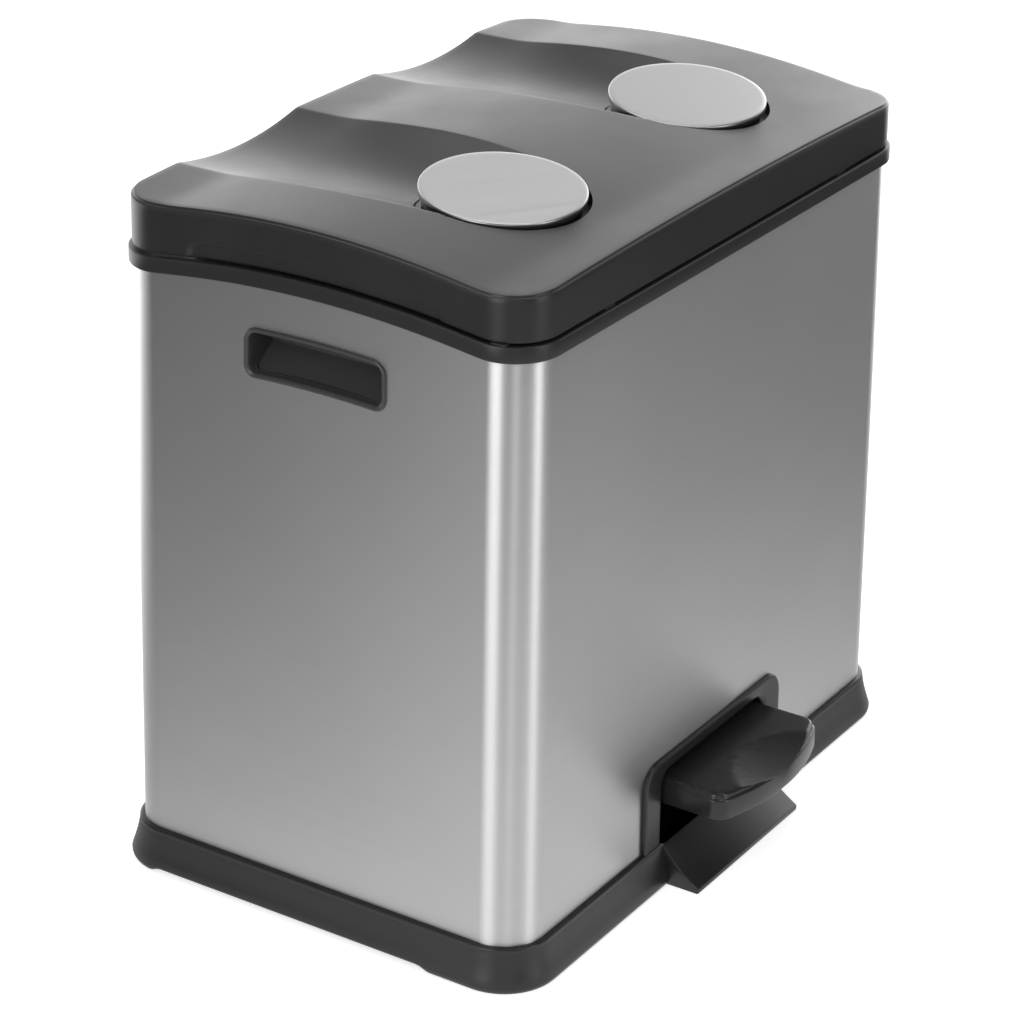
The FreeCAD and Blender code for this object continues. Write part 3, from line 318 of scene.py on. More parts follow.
def carve(item, cutter):
    """Takes the cutter's space out of the object."""
    modifier = item.modifiers.new("carve", "BOOLEAN")
    modifier.operation = "DIFFERENCE"
    modifier.solver = "EXACT"
    modifier.object = cutter
    settle(item)
    bpy.data.objects.remove(cutter)


def rounded_edges(item, width, angle, segments):
    modifier = item.modifiers.new("edges", "BEVEL")
    modifier.width = width
    modifier.segments = segments
    modifier.limit_method = "ANGLE"
    modifier.angle_limit = math.radians(angle)
    settle(item)
    item.data.set_sharp_from_angle(angle=math.radians(SHARP))


def place(item, material, body, slot, *nodes):
    """Gives a finished piece its material and its place in the frame."""
    item.data.materials.clear()
    item.data.materials.append(material)
    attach(item, body)
    if nodes:
        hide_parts(*nodes)


# ---- materials ----

def wired(tree, kind, *inputs, **settings):
    """A new shader node; its inputs, in turn, get a link or a value, or None to stay."""
    made = tree.nodes.new("ShaderNode" + kind)
    for name, value in settings.items():
        setattr(made, name, value)
    for socket, value in zip(made.inputs, inputs):
        if isinstance(value, bpy.types.NodeSocket):
            tree.links.new(value, socket)
        elif value is not None:
            socket.default_value = value
    return made.outputs


def blend(tree, share, first, second):
    """A mix of two colours; they stand at the Mix node's inputs 6 and 7, after its others."""
    skipped = [None] * 5
    return wired(tree, "Mix", share, *skipped, first, second, data_type="RGBA")["Result"]


class Finish:
    """A node material with one Principled shader and a few short ways to add to it."""

    def __init__(self, name, colour, metal, rough):
        self.material = bpy.data.materials.new(name)
        self.material.use_nodes = True
        self.tree = self.material.node_tree
        self.inputs = self.tree.nodes["Principled BSDF"].inputs
        self.inputs["Base Color"].default_value = (*colour, 1)
        self.inputs["Metallic"].default_value = metal
        self.inputs["Roughness"].default_value = rough
        self.coordinates = wired(self.tree, "TexCoord")

    def link(self, out, into):
        self.tree.links.new(out, self.inputs[into])

    def noise(self, scale, detail, stretch=(1, 1, 1)):
        place = self.coordinates["Object"]
        mapped = wired(self.tree, "Mapping", place, None, None, stretch)["Vector"]
        return wired(self.tree, "TexNoise", mapped, None, scale, detail)["Fac"]

    def spread(self, value, low, high):
        """Maps the middle of a texture's values, 0.3 to 0.7, to low..high."""
        return wired(self.tree, "MapRange", value, 0.3, 0.7, low, high)["Result"]

    def tint(self, value, low, high):
        self.link(blend(self.tree, value, (*low, 1), (*high, 1)), "Base Color")

    def rough(self, value):
        self.link(value, "Roughness")

    def bump(self, value, height, strength, under=None):
        node = self.tree.nodes.new("ShaderNodeBump")
        node.inputs["Distance"].default_value = height
        node.inputs["Strength"].default_value = strength
        self.tree.links.new(value, node.inputs["Height"])
        if under is not None:
            self.tree.links.new(under, node.inputs["Normal"])
        self.link(node.outputs["Normal"], "Normal")
        return node.outputs["Normal"]


def grained_plastic(name, shade, rough, grain=0.05 * MM, grain_scale=900):
    """Moulded plastic with a fine spark-eroded grain and faint wear in its sheen."""
    finish = Finish(name, (shade, shade, shade * 1.02), 0, rough)
    low = tuple(shade * share for share in (0.92, 0.92, 0.94))
    high = tuple(shade * share for share in (1.1, 1.1, 1.12))
    finish.tint(finish.spread(finish.noise(9, 4), 0, 1), low, high)
    finish.rough(finish.spread(finish.noise(26, 5), rough - 0.02, rough + 0.025))
    under = finish.bump(finish.noise(60, 2), 0.03 * MM, 0.2)
    finish.bump(finish.noise(grain_scale, 2), grain, 0.6, under)
    return finish.material


def brushed_steel(name, colour, rough, across):
    """Fine horizontal brushing, which draws highlights out into upright bands."""
    finish = Finish(name, colour, 1, rough)
    finish.inputs["Anisotropic"].default_value = across
    finish.inputs["Anisotropic Rotation"].default_value = 0.25
    tangent = wired(finish.tree, "Tangent", direction_type="RADIAL", axis="Z")
    finish.link(tangent["Tangent"], "Tangent")
    streaks = finish.noise(1, 4, (6, 6, 2600))
    finish.rough(finish.spread(streaks, rough - 0.035, rough + 0.035))
    low = tuple(part * 0.97 for part in colour)
    high = tuple(min(1, part * 1.03) for part in colour)
    finish.tint(finish.spread(finish.noise(5, 3), 0, 1), low, high)
    finish.bump(streaks, 0.004 * MM, 0.5)
    return finish.material


def plated_steel():
    finish = Finish("zinc_plating", (0.56, 0.57, 0.58), 1, 0.33)
    cloud = finish.noise(90, 4)
    finish.tint(finish.spread(cloud, 0, 1), (0.48, 0.49, 0.5), (0.62, 0.63, 0.64))
    finish.rough(finish.spread(finish.noise(240, 3), 0.25, 0.42))
    finish.bump(finish.noise(1400, 2), 0.01 * MM, 0.5)
    return finish.material


def drawn_tube():
    finish = Finish("drawn_aluminium", (0.72, 0.72, 0.74), 1, 0.3)
    lines = finish.noise(1, 3, (900, 900, 8))
    finish.rough(finish.spread(lines, 0.24, 0.38))
    finish.bump(lines, 0.01 * MM, 0.5)
    return finish.material


def soft_rubber():
    finish = Finish("pad_rubber", (0.02, 0.02, 0.02), 0, 0.8)
    finish.rough(finish.spread(finish.noise(120, 3), 0.7, 0.9))
    finish.bump(finish.noise(1500, 2), 0.05 * MM, 0.6)
    return finish.material


def plain_nylon():
    finish = Finish("natural_nylon", (0.66, 0.65, 0.6), 0, 0.4)
    finish.tint(finish.spread(finish.noise(40, 3), 0, 1), (0.6, 0.59, 0.54), (0.72, 0.71, 0.66))
    finish.rough(finish.spread(finish.noise(300, 3), 0.34, 0.5))
    finish.bump(finish.noise(1200, 2), 0.02 * MM, 0.5)
    return finish.material


black = grained_plastic("black_plastic", 0.011, 0.38)
pedal_black = grained_plastic("pedal_plastic", 0.013, 0.27)
# The grips' black plastic, made lighter than the rest: painted light standing in for the light
# that reaches into the grip recesses.
grip_black_painted_light = grained_plastic("handle_plastic_painted_light", 0.04, 0.33)
bucket_grey = grained_plastic("bucket_plastic", 0.09, 0.5, 0.03 * MM, 1300)
steel = brushed_steel("satin_steel", (0.62, 0.62, 0.62), 0.42, 0.85)
disc_steel = brushed_steel("disc_steel", (0.4, 0.4, 0.4), 0.34, 0.0)
zinc = plated_steel()
tube = drawn_tube()
rubber = soft_rubber()
nylon = plain_nylon()


# ---- the arched line ----

def arch(y):
    """Height of the arched line above its level ends."""
    radius = (ARCH_HALF ** 2 + ARCH_RISE ** 2) / (2 * ARCH_RISE)
    across = np.clip(y - MIDDLE_Y, -radius, radius)
    rise = np.sqrt(radius ** 2 - across ** 2) - radius + ARCH_RISE
    return smooth_max(rise, 0 * rise, ARCH_SOFT)


def follow(level):
    """A height function that follows the arched line."""
    return lambda x, y: level + arch(y)


def shell_rail(spacing, steps):
    return rounded_rail(SHELL_HALF_X, SHELL_HALF_Y, SHELL_CORNER, spacing, steps)


# ---- lid ----

def lid_crest(x, y):
    """The lid's top before the scoops: arched front to rear and slightly crowned across."""
    place_y = y - MIDDLE_Y
    front = LID_CROWN - LID_FRONT_DROP
    rear = LID_CROWN - LID_REAR_DROP
    chord = math.hypot(LID_BEND_REAR - LID_BEND_FRONT, rear - front)
    rise = LID_FRONT_DROP - (rear - front) / 2
    radius = ((chord / 2) ** 2 + rise ** 2) / (2 * rise)
    lift = math.sqrt(radius ** 2 - chord ** 2 / 4)
    centre_y = (LID_BEND_FRONT + LID_BEND_REAR) / 2 + lift * (rear - front) / chord
    centre_z = (front + rear) / 2 - lift * (LID_BEND_REAR - LID_BEND_FRONT) / chord
    bow = centre_z + np.sqrt(radius ** 2 - (place_y - centre_y) ** 2)
    middle = (LID_BEND_FRONT + LID_BEND_REAR) / 2
    level = np.where(place_y < middle, front, rear)
    blend = 1.6 * MM
    return smooth_max(bow, level, blend) - x ** 2 / (2 * LID_CROSS_RADIUS)


FLOOR_REAR = float(lid_crest(np.array(DISC_X), np.array(shell_high.y))) - SCOOP_REAR_DEPTH
FLOOR_END = float(lid_crest(np.array(DISC_X), np.array(DISC_Y))) - SCOOP_END_DEPTH
SCOOP_STRAIGHT = MIDDLE_Y + 50 * MM


def scoop_height(x, y):
    """The hollow behind each disc: an arc across, nearly level from disc to rear."""
    across = np.abs(np.abs(x) - DISC_X)
    along = np.clip((SCOOP_STRAIGHT - y) / (SCOOP_STRAIGHT - DISC_Y), 0, 1)
    half = SCOOP_HALF - SCOOP_NARROW * along ** 2
    floor = FLOOR_END + (FLOOR_REAR - FLOOR_END) * (y - DISC_Y) / (shell_high.y - DISC_Y)
    depth = lid_crest(np.full_like(x, DISC_X), y) - floor
    radius = (half ** 2 + depth ** 2) / (2 * depth)
    inside = across < 0.9 * radius
    height = floor + radius - np.sqrt(np.maximum(radius ** 2 - across ** 2, 0))
    return np.where(inside & (y > DISC_Y - 1e-6), height, 1.0)


def lid_height(x, y):
    height = smooth_min(lid_crest(x, y), scoop_height(x, y), RIDGE_SOFT)
    away = np.hypot(np.abs(x) - DISC_X, y - DISC_Y)
    sink = smooth_step((WELL_RADIUS - away) / (0.5 * MM))
    return height + (np.minimum(height, FLOOR_END) - height) * sink


def ridge_lines():
    """Plan lines along the scoops' ridges, found where the scoop meets the lid's top."""
    lines = []
    places = np.arange(DISC_Y + 2 * MM, shell_high.y + 4 * MM, 3 * MM)
    offsets = (-3, -1.6, -0.8, -0.3, 0, 0.3, 0.8, 1.6, 3)
    for side in (-1, 1):
        for way in (-1, 1):
            near = np.full_like(places, 30 * MM)
            far = np.full_like(places, 80 * MM)
            for _ in range(30):
                middle = (near + far) / 2
                x = side * (DISC_X + way * middle)
                above = scoop_height(x, places) > lid_crest(x, places)
                far = np.where(above, middle, far)
                near = np.where(above, near, middle)
            for offset in offsets:
                x = side * (DISC_X + way * (near + offset * MM))
                lines.append(np.column_stack([x, places]))
    return lines


def well_lines():
    lines = []
    angles = np.arange(180) * 2 * math.pi / 180
    for side in (-1, 1):
        for grow in (-3, -0.6, -0.4, -0.2, 0, 0.3, 1.2, 3):
            radius = WELL_RADIUS + grow * MM
            lines.append(np.column_stack([side * DISC_X + radius * np.cos(angles),
                                          DISC_Y + radius * np.sin(angles)]))
    return lines


def inside_outline(lines, half_x, half_y, corner):
    """Keeps the points of the lines that lie inside a rounded rectangle."""
    kept = []
    for line in lines:
        over_x = np.maximum(np.abs(line[:, 0]) - (half_x - corner), 0)
        over_y = np.maximum(np.abs(line[:, 1] - MIDDLE_Y) - (half_y - corner), 0)
        kept.append(line[np.hypot(over_x, over_y) < corner - 0.8 * MM])
    return kept


LID_REAR_LIFT = 1.8 * MM
PANEL_HALF = 95 * MM
PANEL_MIDDLE = 1 * MM
PANEL_HEIGHT = 9.5 * MM
PANEL_CORNER = 6 * MM
PANEL_DEPTH = 1.1 * MM
PANEL_EDGE = 0.8 * MM


def lid_foot(y):
    """The lid's lower edge, a little higher along the rear."""
    rear = smooth_step((y - MIDDLE_Y - LID_HALF_Y + 14 * MM) / (4 * MM))
    return LID_BOTTOM + arch(y) + LID_REAR_LIFT * rear


def side_panel(y, height):
    """Depth of the shallow panel along the foot of the lid's two ends."""
    along = np.abs(y - MIDDLE_Y - PANEL_MIDDLE)
    over_y = np.maximum(along - (PANEL_HALF - PANEL_CORNER), 0)
    over_z = np.maximum(height - (PANEL_HEIGHT - PANEL_CORNER), 0)
    beyond = np.hypot(over_y, over_z) - PANEL_CORNER
    return PANEL_DEPTH * smooth_step(0.5 - beyond / PANEL_EDGE)


def make_lid():
    rail = rounded_rail(LID_HALF_X, LID_HALF_Y, LID_CORNER, 2 * MM, 20)
    rings = []
    for inset, drop in LID_STEP:
        rings.append(ring(rail, -inset * MM,
                          lambda x, y, drop=drop: lid_height(x, y) - drop * MM))
    brow = rings[-1][:, 2]
    foot = lid_foot(rings[-1][:, 1])
    flat_side = np.abs(rail.outward[:, 0]) > 0.999
    for share in (0.2, 0.5, 0.8):
        level = brow + (foot + 13 * MM - brow) * share
        rings.append(np.column_stack([rail.at(0), level]))
    for height in (12, 10.6, 10, 9.6, 9.2, 8.8, 8, 6.5, 5, 3.5, 2, 0.8):
        sunk = np.where(flat_side, side_panel(rail.points[:, 1], height * MM), 0)
        rings.append(np.column_stack([rail.at(-sunk), foot + height * MM]))
    sunk = np.where(flat_side, side_panel(rail.points[:, 1], 0), 0)
    for inset, lift in ((sunk + 0.25 * MM, 0.2 * MM), (sunk + 0.8 * MM, 0), (LID_WALL, 0)):
        rings.append(np.column_stack([rail.at(-inset), foot + lift]))
    under = lambda x, y: lid_height(x, y) - LID_WALL
    rings.append(ring(rail, -LID_WALL, under))
    lines = ridge_lines() + well_lines()
    kept = inside_outline(lines, LID_HALF_X - LID_EDGE, LID_HALF_Y - LID_EDGE,
                          LID_CORNER - LID_EDGE)
    top = skin(rings[0][:, :2], kept, 3.5 * MM, lid_height)
    coarse = [line[::2] for line in kept[::2]]
    bottom = skin(rings[-1][:, :2], coarse, 6 * MM, under)
    lid = mesh_object("lid_skin", [top, bridge(rings), bottom], sharp=50)
    carve(lid, lid_notches())
    join(lid, lid_ears())
    lid.data.set_sharp_from_angle(angle=math.radians(50))
    place(lid, black, "lid", "black_plastic", "lid_shell")


HINGE_Y = shell_high.y - 3 * MM
HINGE_Z = COLLAR_TOP + 9 * MM
HINGE_SPREAD = 150 * MM
KNUCKLE_RADIUS = 5.5 * MM
EAR_NEAR = 8.5 * MM
EAR_FAR = 14.5 * MM
NOTCH_HALF = 22.5 * MM


def lid_notches():
    """The space that the two hinges take out of the lid's rear skirt."""
    chunks = []
    for side in (-1, 1):
        middle = side * HINGE_SPREAD
        chunks.append(block((middle - NOTCH_HALF, HINGE_Y - 2 * KNUCKLE_RADIUS, 0.3),
                            (middle + NOTCH_HALF, HINGE_Y + 0.05,
                             HINGE_Z + KNUCKLE_RADIUS + 1 * MM)))
    return mesh_object("lid_notches", chunks)


def lid_ears():
    chunks = []
    for side in (-1, 1):
        for way in (-1, 1):
            near = side * HINGE_SPREAD + way * EAR_NEAR
            far = side * HINGE_SPREAD + way * EAR_FAR
            span = (min(near, far), max(near, far))
            outline = []
            for step in range(25):
                angle = math.pi * (1 + step / 24)
                outline.append((HINGE_Y + KNUCKLE_RADIUS * math.cos(angle),
                                HINGE_Z + KNUCKLE_RADIUS * math.sin(angle)))
            rear = MIDDLE_Y + LID_HALF_Y - LID_WALL / 2
            outline += [(HINGE_Y + KNUCKLE_RADIUS, HINGE_Z + 2 * MM),
                        (rear, HINGE_Z + KNUCKLE_RADIUS),
                        (rear, FLOOR_REAR - LID_WALL / 2),
                        (HINGE_Y - KNUCKLE_RADIUS, FLOOR_REAR - LID_WALL / 2)]
            chunks += extruded(outline, 0, span)
    return mesh_object("lid_ears", chunks)


def join(item, other):
    """Adds the other object's mesh to the item and removes the other."""
    work = bmesh.new()
    work.from_mesh(item.data)
    work.from_mesh(other.data)
    work.to_mesh(item.data)
    work.free()
    bpy.data.objects.remove(other)


# ---- discs ----

def on_disc(item, side):
    """Tips a piece made about the origin onto one disc's place."""
    axis = Vector((math.cos(DISC_TURN), math.sin(DISC_TURN), 0))
    turn = Matrix.Rotation(DISC_TILT, 4, axis)
    item.data.transform(Matrix.Translation((side * DISC_X, DISC_Y, DISC_Z)) @ turn)


def make_seat(side, name):
    """The round boss that carries a disc, standing on the floor of its well."""
    low = -(DISC_Z - FLOOR_END) - SEAT_RADIUS * math.sin(DISC_TILT)
    top = -1 * MM
    inner = SEAT_RADIUS - SEAT_WALL
    profile = [(inner, low), (inner, top), (SEAT_RADIUS - 0.5 * MM, top),
               (SEAT_RADIUS, top - 0.5 * MM), (SEAT_RADIUS, low), (inner, low)]
    seat = mesh_object(name + "_boss", [lathe(profile)], sharp=50)
    on_disc(seat, side)
    for vertex in seat.data.vertices:
        vertex.co.z = max(vertex.co.z, FLOOR_END)
    place(seat, black, "lid", "black_plastic", name)


def make_disc(side, name):
    """A pressed disc with a rolled rim, tipped forward on its seat."""
    wall = 1 * MM
    roll = 1.1 * MM
    profile = [(0, 0), (DISC_RADIUS * 0.5, 0), (DISC_RADIUS - 3.2 * roll, 0)]
    for step in range(1, 9):
        angle = math.pi / 2 * step / 8
        profile.append((DISC_RADIUS - roll + roll * math.sin(angle),
                        roll * (math.cos(angle) - 1)))
    profile += [(DISC_RADIUS, -DISC_RIM + 0.3 * MM), (DISC_RADIUS - 0.3 * MM, -DISC_RIM),
                (DISC_RADIUS - wall, -DISC_RIM), (DISC_RADIUS - wall, -wall), (0, -wall)]
    disc = mesh_object(name + "_pressing", [lathe(profile)], sharp=60)
    on_disc(disc, side)
    place(disc, disc_steel, "lid", "satin_steel", name)


# ---- body: steel shell, rim, base, surround and handles ----

def make_shell():
    top = follow(COLLAR_BOTTOM + 6 * MM)
    profile = [(0, shell_low.z), (0, top), (-SHELL_WALL, top), (-SHELL_WALL, shell_low.z)]
    shell = mesh_object("steel_skin", [sweep(shell_rail(20 * MM, 24), profile, closed=True)],
                        sharp=40)
    carve(shell, shell_openings())
    upright_normals(shell)
    place(shell, steel, "bin", "satin_steel", "steel_shell")


def shell_openings():
    half = (surround_high.x - surround_low.x) / 2 - 5 * MM
    chunks = [block((-half, FRONT_FACE - 0.02, 0), (half, FRONT_FACE + 0.02,
                                                    surround_high.z - 5 * MM))]
    grip = handle_rail(-2.2 * MM)
    for side in (-1, 1):
        rings = []
        for near in (-0.01, 0.01):
            x = np.full(len(grip), side * SHELL_HALF_X + near)
            rings.append(np.column_stack([x, grip]))
        chunks += [bridge(rings), cap(rings[0]), cap(rings[1])]
    return mesh_object("shell_openings", chunks)


def upright_normals(item):
    """Shades the steel as true flats and round corners, whatever the cut faces are."""
    mesh = item.data
    normals = []
    core_x = SHELL_HALF_X - SHELL_CORNER
    core_y = SHELL_HALF_Y - SHELL_CORNER
    for polygon in mesh.polygons:
        for loop in polygon.loop_indices:
            point = mesh.vertices[mesh.loops[loop].vertex_index].co
            away = Vector((point.x - max(-core_x, min(core_x, point.x)),
                           point.y - MIDDLE_Y - max(-core_y, min(core_y, point.y - MIDDLE_Y)), 0))
            normal = polygon.normal.copy()
            if abs(normal.z) < 0.5 and away.length > 0.8 * SHELL_CORNER:
                facing = away.normalized()
                if abs(facing.dot(normal)) > 0.95:
                    normal = facing * math.copysign(1, facing.dot(normal))
            normals.append(normal)
    mesh.normals_split_custom_set(normals)


def make_collar():
    """The rim: a rounded band outside, a flat ledge on top and a lip down inside."""
    rail = shell_rail(5 * MM, 18)
    edge = COLLAR_EDGE
    profile = [(0.1 * MM, 0), (COLLAR_PROUD - edge, 0)]
    for step in range(1, 5):
        angle = math.pi / 2 * step / 4
        profile.append((COLLAR_PROUD - edge + edge * math.sin(angle),
                        edge * (1 - math.cos(angle))))
    for step in range(0, 5):
        angle = math.pi / 2 * step / 4
        profile.append((COLLAR_PROUD - edge + edge * math.cos(angle),
                        COLLAR_HEIGHT - edge + edge * math.sin(angle)))
    profile += [(-COLLAR_INNER + edge, COLLAR_HEIGHT), (-COLLAR_INNER, COLLAR_HEIGHT - edge),
                (-COLLAR_INNER, -6 * MM), (-1.2 * MM, -6 * MM), (-1.2 * MM, 5 * MM),
                (0.1 * MM, 5 * MM)]
    profile = [(offset, follow(COLLAR_BOTTOM + height)) for offset, height in profile]
    collar = mesh_object("rim_band", [sweep(rail, profile, closed=True)], sharp=50)
    place(collar, black, "bin", "black_plastic", "rim_collar")


TONGUE_HALF = 68 * MM
TONGUE_TIP_Y = base_low.y
TONGUE_TOP = 28 * MM
TONGUE_TIP = 4 * MM
FOOT_FRONT = 94 * MM
FOOT_REAR = 132 * MM
FOOT_BLEND = 9 * MM


def foot_lift(y):
    """How far the base's lower edge rises between the corner feet."""
    along = y - MIDDLE_Y
    front = smooth_step((along + FOOT_FRONT) / FOOT_BLEND)
    rear = smooth_step((FOOT_REAR - along) / FOOT_BLEND)
    return FOOT_RISE * front * rear


def make_base():
    rail = shell_rail(3 * MM, 18)
    flare = BASE_FLARE - 0.3 * MM
    ledge = 3.6 * MM
    crease = 3.1 * MM
    top_z = BASE_HEIGHT - crease - 0.7 * MM
    toe = 4.5 * MM
    profile = [(-8 * MM, 8 * MM), (-8 * MM, BASE_HEIGHT - 1 * MM), (-7 * MM, BASE_HEIGHT),
               (0.2 * MM, BASE_HEIGHT), (ledge - 1.4 * MM, BASE_HEIGHT - 0.1 * MM),
               (ledge - 0.6 * MM, BASE_HEIGHT - 0.5 * MM),
               (ledge - 0.1 * MM, BASE_HEIGHT - 1.3 * MM), (ledge, BASE_HEIGHT - 2.4 * MM),
               (ledge - 0.1 * MM, BASE_HEIGHT - crease), (ledge + 0.1 * MM, top_z)]
    for share in (0.25, 0.5, 0.75, 1):
        sag = 0.5 * MM * math.sin(math.pi * share)
        profile.append((ledge + (flare - ledge) * share - sag, top_z + (toe - top_z) * share))
    for step in range(1, 7):
        angle = math.pi / 2 * step / 6
        profile.append((flare - toe * (1 - math.cos(angle)) * 0.7, toe * (1 - math.sin(angle))))
    profile += [(2 * MM, 0), (-14 * MM, 0), (-14 * MM, 3 * MM), (-14 * MM, 8 * MM)]
    rings = []
    for offset, height in profile:
        plan = rail.at(offset)
        level = np.full(len(plan), float(height))
        level += foot_lift(plan[:, 1]) * np.clip(1 - height / (9 * MM), 0, 1)
        mouth = (np.abs(plan[:, 0]) < TONGUE_HALF) & (plan[:, 1] < MIDDLE_Y)
        level = np.where(mouth, np.minimum(level, TONGUE_TOP), level)
        rings.append(np.column_stack([plan, level]))
    floor = [cap(ring(rail, -14 * MM, 3.2 * MM)), cap(ring(rail, -8 * MM, 8 * MM))]
    base = mesh_object("base_skirt", [bridge(rings, closed=True)] + floor, sharp=50)
    join(base, make_tongue())
    place(base, black, "bin", "black_plastic", "base_tray")


def make_tongue():
    """The wedge under the pedal, with a hollow-curved top."""
    start_y = FRONT_FACE - 3.6 * MM
    outline = [(FRONT_FACE + 8 * MM, 3 * MM), (FRONT_FACE + 8 * MM, TONGUE_TOP),
               (start_y, TONGUE_TOP)]
    steps = 16
    sag = 2.2 * MM
    for step in range(1, steps + 1):
        share = step / steps
        outline.append((start_y + (TONGUE_TIP_Y - start_y) * share,
                        TONGUE_TOP + (TONGUE_TIP - TONGUE_TOP) * share
                        - sag * math.sin(math.pi * share)))
    outline += [(TONGUE_TIP_Y, 0.8 * MM), (TONGUE_TIP_Y + 1 * MM, 0), (FRONT_FACE + 2 * MM, 0)]
    tongue = mesh_object("tongue", extruded(outline, 0, (-TONGUE_HALF, TONGUE_HALF)), sharp=30)
    rounded_edges(tongue, 0.5 * MM, 35, 2)
    return tongue


def frame_path(half, top, corner, low):
    """Half an arch seen from the front: up the left leg, across and down the right one."""
    path = [(-half, low), (-half, (low + top - corner) / 2), (-half, top - corner)]
    for step in range(1, 11):
        angle = math.pi - math.pi / 2 * step / 10
        path.append((-half + corner + corner * math.cos(angle),
                     top - corner + corner * math.sin(angle)))
    path += [(-x, z) for x, z in reversed(path)]
    return np.array(path)


SURROUND_LEG = 21.5 * MM
SURROUND_HEAD = 11 * MM
SURROUND_CORNER = 16 * MM


def make_surround():
    """A moulded frame round the pedal's opening, with a lip that turns into it."""
    low = BASE_HEIGHT + 0.1 * MM
    outer_half = surround_high.x
    outer = frame_path(outer_half, surround_high.z, SURROUND_CORNER, low)
    inner = frame_path(outer_half - SURROUND_LEG, surround_high.z - SURROUND_HEAD,
                       SURROUND_CORNER - 5 * MM, low)
    face = FRONT_FACE - 0.15 * MM
    proud = 3 * MM
    stations = [(0, 0, 0), (0, 0, 0.55), (0.35, 0, 0.85), (1, 0, 1), (3, 0, 1.0),
                (-4.5, 1, 0.86), (-2.6, 1, 0.8), (-1.2, 1, 0.62), (-0.3, 1, 0.3), (0, 1, -0.1),
                (0, 1, -9), (-3, 1, -9), (-3, 1, 0), (1, 0, 0)]
    rings = []
    for inset, side, out in stations:
        path = (outer, inner)[side]
        shift = np.zeros_like(path)
        shift[:, 0] = -np.sign(path[:, 0]) * inset * MM
        shift[:, 1] = -inset * MM * (path[:, 1] > surround_high.z / 2)
        moved = path + shift
        depth = np.full(len(path), face - proud * out)
        rings.append(np.column_stack([moved[:, 0], depth, moved[:, 1]]))
    surround = mesh_object("surround_frame",
                           [bridge(rings, closed=True, open_path=True)]
                           + [cap([part[0] for part in rings]),
                              cap([part[-1] for part in rings])], sharp=40)
    place(surround, black, "bin", "black_plastic", "pedal_surround")


HANDLE_HALF = 54 * MM
HANDLE_LOW = 375 * MM
HANDLE_HIGH = 409 * MM
HANDLE_CORNER = 9 * MM
HANDLE_DEPTH = 24 * MM
HANDLE_WALL = 1.6 * MM
HANDLE_SLOPE = 0.84


def handle_rail(grow):
    """The hand grip's outline on the body's side, as y and z; it follows the arched line."""
    rail = rounded_rail(HANDLE_HALF, (HANDLE_HIGH - HANDLE_LOW) / 2, HANDLE_CORNER,
                        4 * MM, 8, (MIDDLE_Y, (HANDLE_LOW + HANDLE_HIGH) / 2))
    plan = rail.at(grow)
    plan[:, 1] += arch(plan[:, 0]) - arch(np.array(MIDDLE_Y))
    return plan


def make_handle(side, name):
    """A raised bead round a cup that is deep above and slopes out below."""
    beads = [(0, -0.4), (0.1, 0.6), (-0.4, 1.5), (-1.1, 1.95), (-1.8, 1.9), (-2.4, 1.5),
             (-2.8, 1.0), (-3.1, 0.9), (-3.4, 0.5)]
    rings = []
    for grow, out in beads:
        plan = handle_rail(grow * MM)
        x = np.full(len(plan), side * (SHELL_HALF_X + out * MM))
        rings.append(np.column_stack([x, plan]))
    brim = handle_rail(-3.4 * MM)
    low = brim[:, 1].min()
    shelf = (low + brim[:, 1].max()) / 2
    slope = smooth_step((brim[:, 1] - low) / (shelf - low)) * HANDLE_SLOPE + 1 - HANDLE_SLOPE
    for share in (0.15, 0.3, 0.45, 0.6, 0.75, 0.9, 1):
        reach = HANDLE_DEPTH * np.minimum(share, slope)
        inward = 1.2 * MM * share
        plan = brim.copy()
        plan[:, 0] -= np.sign(plan[:, 0] - MIDDLE_Y) * inward
        plan[:, 1] -= np.sign(plan[:, 1] - shelf) * inward * 0.5
        rings.append(np.column_stack([side * (SHELL_HALF_X - reach), plan]))
    back = handle_back(rings[-1], side, low, shelf)
    cup = mesh_object(name + "_cup", [bridge(rings), back], sharp=40)
    thick = cup.modifiers.new("wall", "SOLIDIFY")
    thick.thickness = HANDLE_WALL
    thick.offset = -1
    settle(cup)
    cup.data.set_sharp_from_angle(angle=math.radians(40))
    # The cup gets the lighter copy of the black plastic, which paints light into its recess.
    place(cup, grip_black_painted_light, "bin", "black_plastic", name)


def handle_back(loop, side, low, shelf):
    """The cup's back wall above and its sloping floor below, inside the last ring."""
    plan = loop[:, 1:]

    def reach(y, z):
        share = np.clip((z - low) / (shelf - low), 0, 1)
        slope = 1 - HANDLE_SLOPE + HANDLE_SLOPE * share
        return HANDLE_DEPTH * smooth_min(slope, 1 + 0 * slope, 0.03)

    along = np.linspace(plan[:, 0].min(), plan[:, 0].max(), 40)[2:-2]
    level = [np.column_stack([along, np.full(len(along), shelf + shift * MM)])
             for shift in (-1.5, -0.7, 0, 0.7, 1.5)]
    points, faces = skin(plan, level, 2.5 * MM, reach)
    return np.column_stack([side * (SHELL_HALF_X - points[:, 2]), points[:, :2]]), faces


# ---- pedal ----

PEDAL_HALF = pedal_high.x
PEDAL_TOP = pedal_high.z
PEDAL_LOW = pedal_low.z
PEDAL_FRONT = pedal_low.y
PEDAL_REAR = pedal_high.y
PEDAL_BOW = 13 * MM
PEDAL_CORNER = 12 * MM
DISH_RADIUS = 55 * MM
DISH_DEPTH = 6 * MM
DISH_Y = FRONT_FACE - 79 * MM
DISH_LIP = 0.4 * MM
DISH_LIP_WIDTH = 0.7 * MM
DISH_LIP_END = 50 * MM


